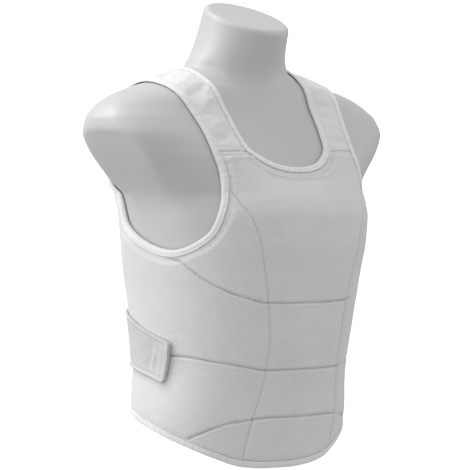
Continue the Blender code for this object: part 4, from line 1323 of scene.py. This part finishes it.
def cloth(name, light, dark, twill, pitch, grain, sheen=0.25, turn=45.0):
    """Woven cloth: a fine twill with its fibre and a slightly uneven tone."""
    material, nodes, links, surface = principled(name, 0.86)
    places = nodes.new("ShaderNodeTexCoord")
    weave = nodes.new("ShaderNodeMapping")
    weave.inputs["Rotation"].default_value[2] = math.radians(turn)
    links.new(places.outputs["UV"], weave.inputs["Vector"])
    ribs = nodes.new("ShaderNodeTexWave")
    ribs.wave_type = "BANDS"
    ribs.bands_direction = "X"
    ribs.wave_profile = "SIN"
    # one band of this texture is 2 pi / 20 wide at a scale of 1
    ribs.inputs["Scale"].default_value = 2 * math.pi / 20 / pitch
    ribs.inputs["Distortion"].default_value = 2.2
    ribs.inputs["Detail"].default_value = 2.0
    ribs.inputs["Detail Scale"].default_value = 1.6
    links.new(weave.outputs["Vector"], ribs.inputs["Vector"])
    fibre = nodes.new("ShaderNodeTexNoise")
    fibre.inputs["Scale"].default_value = 620.0
    fibre.inputs["Detail"].default_value = 3.0
    links.new(places.outputs["Object"], fibre.inputs["Vector"])
    tone = nodes.new("ShaderNodeTexNoise")
    tone.inputs["Scale"].default_value = 22.0
    tone.inputs["Detail"].default_value = 4.0
    links.new(places.outputs["Object"], tone.inputs["Vector"])
    slub = nodes.new("ShaderNodeTexNoise")
    slub.inputs["Scale"].default_value = 130.0
    slub.inputs["Detail"].default_value = 3.0
    links.new(places.outputs["Object"], slub.inputs["Vector"])
    mixed = math_node(nodes, links, "ADD", math_node(nodes, links, "MULTIPLY", tone.outputs["Fac"], 0.55),
                      math_node(nodes, links, "MULTIPLY", slub.outputs["Fac"], 0.45))
    mixed = ranged(nodes, links, mixed, 0.34, 0.66, 0.0, 1.0)
    ribbed = ranged(nodes, links, ribs.outputs["Fac"], 0.0, 1.0, 1.0 - 0.05 * twill, 1.0)
    colour = nodes.new("ShaderNodeMix")
    colour.data_type = "RGBA"
    colour.inputs[6].default_value = (*dark, 1)
    colour.inputs[7].default_value = (*light, 1)
    links.new(mixed, colour.inputs[0])
    shaded = nodes.new("ShaderNodeMix")
    shaded.data_type = "RGBA"
    shaded.blend_type = "MULTIPLY"
    shaded.inputs[0].default_value = 1.0
    links.new(colour.outputs[2], shaded.inputs[6])
    links.new(ribbed, shaded.inputs[7])
    fine = ranged(nodes, links, fibre.outputs["Fac"], 0.35, 0.65, 1.0 - 0.07 * grain, 1.0)
    grained = nodes.new("ShaderNodeMix")
    grained.data_type = "RGBA"
    grained.blend_type = "MULTIPLY"
    grained.inputs[0].default_value = 1.0
    links.new(shaded.outputs[2], grained.inputs[6])
    links.new(fine, grained.inputs[7])
    links.new(grained.outputs[2], surface.inputs["Base Color"])
    rough = ranged(nodes, links, slub.outputs["Fac"], 0.3, 0.7, 0.80, 0.93)
    links.new(rough, surface.inputs["Roughness"])
    first = nodes.new("ShaderNodeBump")
    first.inputs["Strength"].default_value = 0.55 * twill
    first.inputs["Distance"].default_value = 0.00035
    links.new(ribs.outputs["Fac"], first.inputs["Height"])
    second = nodes.new("ShaderNodeBump")
    second.inputs["Strength"].default_value = 0.5 * grain
    second.inputs["Distance"].default_value = 0.0003
    links.new(fibre.outputs["Fac"], second.inputs["Height"])
    links.new(first.outputs["Normal"], second.inputs["Normal"])
    third = nodes.new("ShaderNodeBump")
    third.inputs["Strength"].default_value = 0.45
    third.inputs["Distance"].default_value = 0.0007
    links.new(slub.outputs["Fac"], third.inputs["Height"])
    links.new(second.outputs["Normal"], third.inputs["Normal"])
    links.new(third.outputs["Normal"], surface.inputs["Normal"])
    surface.inputs["Sheen Weight"].default_value = sheen
    surface.inputs["Sheen Roughness"].default_value = 0.55
    surface.inputs["Specular IOR Level"].default_value = 0.25
    return material


def shell_finish():
    """Painted glass fibre: a soft gloss over a faintly uneven surface."""
    material, nodes, links, surface = principled("form_shell_finish", 0.42)
    places = nodes.new("ShaderNodeTexCoord")
    tone = nodes.new("ShaderNodeTexNoise")
    tone.inputs["Scale"].default_value = 7.0
    tone.inputs["Detail"].default_value = 3.0
    links.new(places.outputs["Object"], tone.inputs["Vector"])
    colour = nodes.new("ShaderNodeMix")
    colour.data_type = "RGBA"
    colour.inputs[6].default_value = (*[FORM_TONE * 0.97] * 3, 1)
    colour.inputs[7].default_value = (*[FORM_TONE * 1.02] * 3, 1)
    links.new(ranged(nodes, links, tone.outputs["Fac"], 0.35, 0.65, 0.0, 1.0), colour.inputs[0])
    links.new(colour.outputs[2], surface.inputs["Base Color"])
    links.new(ranged(nodes, links, tone.outputs["Fac"], 0.3, 0.7, 0.38, 0.48), surface.inputs["Roughness"])
    skin_noise = nodes.new("ShaderNodeTexNoise")
    skin_noise.inputs["Scale"].default_value = 420.0
    skin_noise.inputs["Detail"].default_value = 2.0
    links.new(places.outputs["Object"], skin_noise.inputs["Vector"])
    bumped = nodes.new("ShaderNodeBump")
    bumped.inputs["Strength"].default_value = 0.12
    bumped.inputs["Distance"].default_value = 0.0002
    links.new(skin_noise.outputs["Fac"], bumped.inputs["Height"])
    links.new(bumped.outputs["Normal"], surface.inputs["Normal"])
    surface.inputs["Coat Weight"].default_value = 0.12
    surface.inputs["Coat Roughness"].default_value = 0.32
    surface.inputs["Specular IOR Level"].default_value = 0.5
    return material


grey = lambda v: (v, v, v * 1.005)
panel_cloth = cloth("panel_cloth_finish", grey(CLOTH_TONE * 1.02), grey(CLOTH_TONE * 0.965), 0.9, 0.0028, 1.0)
# the straps' cloth is toned lighter than the panels': painted light, standing in for the light that falls from above on
# the straps' upward faces
strap_cloth = cloth("strap_cloth_painted_top_light_finish", grey(CLOTH_TONE * 1.09), grey(CLOTH_TONE * 1.02), 0.8, 0.0024, 1.0, turn=40.0)
closure_cloth = cloth("closure_cloth_finish", grey(CLOTH_TONE * 0.90), grey(CLOTH_TONE * 0.83), 1.2, 0.0020, 1.4, turn=88.0)
tape_cloth = cloth("binding_tape_finish", grey(CLOTH_TONE * 1.26), grey(CLOTH_TONE * 1.14), 0.9, 0.0011, 1.1, turn=90.0)
thread, nodes, links, surface = principled("thread_finish", 0.55)
places = nodes.new("ShaderNodeTexCoord")
ply = nodes.new("ShaderNodeTexNoise")
ply.inputs["Scale"].default_value = 900.0
links.new(places.outputs["Object"], ply.inputs["Vector"])
colour = nodes.new("ShaderNodeMix")
colour.data_type = "RGBA"
colour.inputs[6].default_value = (*grey(CLOTH_TONE * 1.0), 1)
colour.inputs[7].default_value = (*grey(CLOTH_TONE * 1.18), 1)
links.new(ply.outputs["Fac"], colour.inputs[0])
links.new(colour.outputs[2], surface.inputs["Base Color"])
twist = nodes.new("ShaderNodeBump")
twist.inputs["Strength"].default_value = 0.4
twist.inputs["Distance"].default_value = 0.0002
links.new(ply.outputs["Fac"], twist.inputs["Height"])
links.new(twist.outputs["Normal"], surface.inputs["Normal"])
surface.inputs["Sheen Weight"].default_value = 0.1

cad_of = {
    "front_center_cloth": "front_center", "front_side_right_cloth": "front_side_right",
    "front_side_left_cloth": "front_side_left", "back_panel_cloth": "back_panel",
    "strap_right_cloth": "strap_right", "strap_left_cloth": "strap_left",
    "neck_tape": "neck_binding", "armhole_tape_right": "armhole_binding_right",
    "armhole_tape_left": "armhole_binding_left", "hem_tape": "hem_binding",
    "closure_strap_right_cloth": "closure_strap_right",
    "closure_strap_left_cloth": "closure_strap_left", "torso_form_shell": "torso_form",
}
for name, node in cad_of.items():
    obj = bpy.data.objects[name]
    if name == "torso_form_shell":
        finish, where = shell_finish(), "form_shell"
    elif "tape" in name:
        finish, where = tape_cloth, "binding_tape"
    elif name.startswith("closure"):
        finish, where = closure_cloth, "strap_cloth"
    elif name.startswith("strap"):
        finish, where = strap_cloth, "strap_cloth"
    else:
        finish, where = panel_cloth, "panel_cloth"
    obj.data.materials.append(finish)
    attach(obj, "root")
    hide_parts(node)
for obj, name in threads:
    obj.data.materials.append(thread)
    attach(obj, "root")


# ---- studio ------------------------------------------------------------------
def camera_only(obj):
    """Seen by the camera, but neither lighting the object nor shading it."""
    obj.visible_diffuse = obj.visible_glossy = obj.visible_transmission = False
    obj.visible_volume_scatter = obj.visible_shadow = False


def turned_surface(name, profile, count=64):
    """A surface of revolution about the vertical, from (radius, height) rows."""
    turn = np.linspace(0, 2 * math.pi, count, endpoint=False)
    points = [(r * math.cos(a), r * math.sin(a), h) for r, h in profile for a in turn]
    faces = [
        (k * count + j, k * count + (j + 1) % count, (k + 1) * count + (j + 1) % count, (k + 1) * count + j)
        for k in range(len(profile) - 1)
        for j in range(count)
    ]
    mesh = bpy.data.meshes.new(name)
    mesh.from_pydata(points, [], faces)
    mesh.shade_smooth()
    obj = bpy.data.objects.new(name, mesh)
    bpy.context.scene.collection.objects.link(obj)
    return obj


# a pale floor that runs out into a white backdrop all round
floor = turned_surface("floor", [(0.002, 0), (0.2, 0), (0.5, 0), (1, 0), (2, 0), (5, 0), (12, 0)])
floor_material, nodes, links, surface = principled("floor_finish", 0.8)
surface.inputs["Base Color"].default_value = (0.9, 0.9, 0.9, 1)
surface.inputs["Specular IOR Level"].default_value = 0.1
surface.inputs["Emission Color"].default_value = (1, 1, 1, 1)
surface.inputs["Emission Strength"].default_value = FLOOR_GLOW
floor.data.materials.append(floor_material)
floor.location = (0, 0, -0.0003)
backdrop = turned_surface(
    "backdrop",
    [(12, 0)] + [(2 + 10 * math.cos(math.radians(a)), 12 * math.sin(math.radians(a))) for a in (10, 20, 35, 50, 70, 90)]
    + [(0.01, 12)],
)
drop_material, nodes, links, surface = principled("backdrop_finish", 0.9)
surface.inputs["Base Color"].default_value = (0.9, 0.9, 0.9, 1)
surface.inputs["Specular IOR Level"].default_value = 0.0
surface.inputs["Emission Color"].default_value = (1, 1, 1, 1)
surface.inputs["Emission Strength"].default_value = 1.0
backdrop.data.materials.append(drop_material)
for obj in (floor, backdrop):
    camera_only(obj)

world = bpy.data.worlds.new("studio")
bpy.context.scene.world = world
world.use_nodes = True
nodes, links = world.node_tree.nodes, world.node_tree.links
sky = nodes["Background"]
way_up = nodes.new("ShaderNodeTexCoord")
split = nodes.new("ShaderNodeSeparateXYZ")
links.new(way_up.outputs["Generated"], split.inputs[0])
links.new(ranged(nodes, links, split.outputs["Z"], -0.7, 0.9, *SKY), sky.inputs["Strength"])
sky.inputs["Color"].default_value = (1, 1, 1, 1)


def area_light(name, azimuth, elevation, distance, size, power, aim=(0, 0, 0.3)):
    """A square soft light; azimuth is 0 at the front, + towards the left of the wearer."""
    data = bpy.data.lights.new(name, "AREA")
    data.shape = "RECTANGLE"
    data.size, data.size_y = size
    data.energy = power
    lamp = bpy.data.objects.new(name, data)
    a, e = math.radians(azimuth), math.radians(elevation)
    lamp.location = (
        aim[0] + distance * math.cos(e) * math.sin(a),
        aim[1] - distance * math.cos(e) * math.cos(a),
        aim[2] + distance * math.sin(e),
    )
    lamp.rotation_euler = (Vector(aim) - lamp.location).to_track_quat("-Z", "Y").to_euler()
    bpy.context.scene.collection.objects.link(lamp)


for row in LIGHTS:
    area_light(*row)

th = math.radians(47)
distance = 4.7
camera = bpy.data.objects.new("camera", bpy.data.cameras.new("camera"))
bpy.context.scene.collection.objects.link(camera)
shift = DEPTH_SHIFT * MM
drop = HEIGHT_SHIFT * MM
camera.location = (-distance * math.sin(th), -distance * math.cos(th) + shift, 0.401 + drop)
sideways = Vector((math.cos(th), -math.sin(th), 0))
middle = Vector((0, shift, 0)) + sideways * (-7.5 / 0.787 * MM)
aim = middle + Vector((0, 0, 0.401 + drop - 85 / 0.787 * MM))
camera.rotation_euler = (aim - camera.location).to_track_quat("-Z", "Y").to_euler()
camera.data.sensor_width = 36
camera.data.lens = 36 * 4700 * 0.787 / 470
bpy.context.scene.camera = camera
bpy.context.scene.view_settings.view_transform = "Standard"
bpy.context.scene.view_settings.look = "None"
bpy.context.scene.view_settings.exposure = 0.0
bpy.context.scene.view_settings.gamma = 1.0
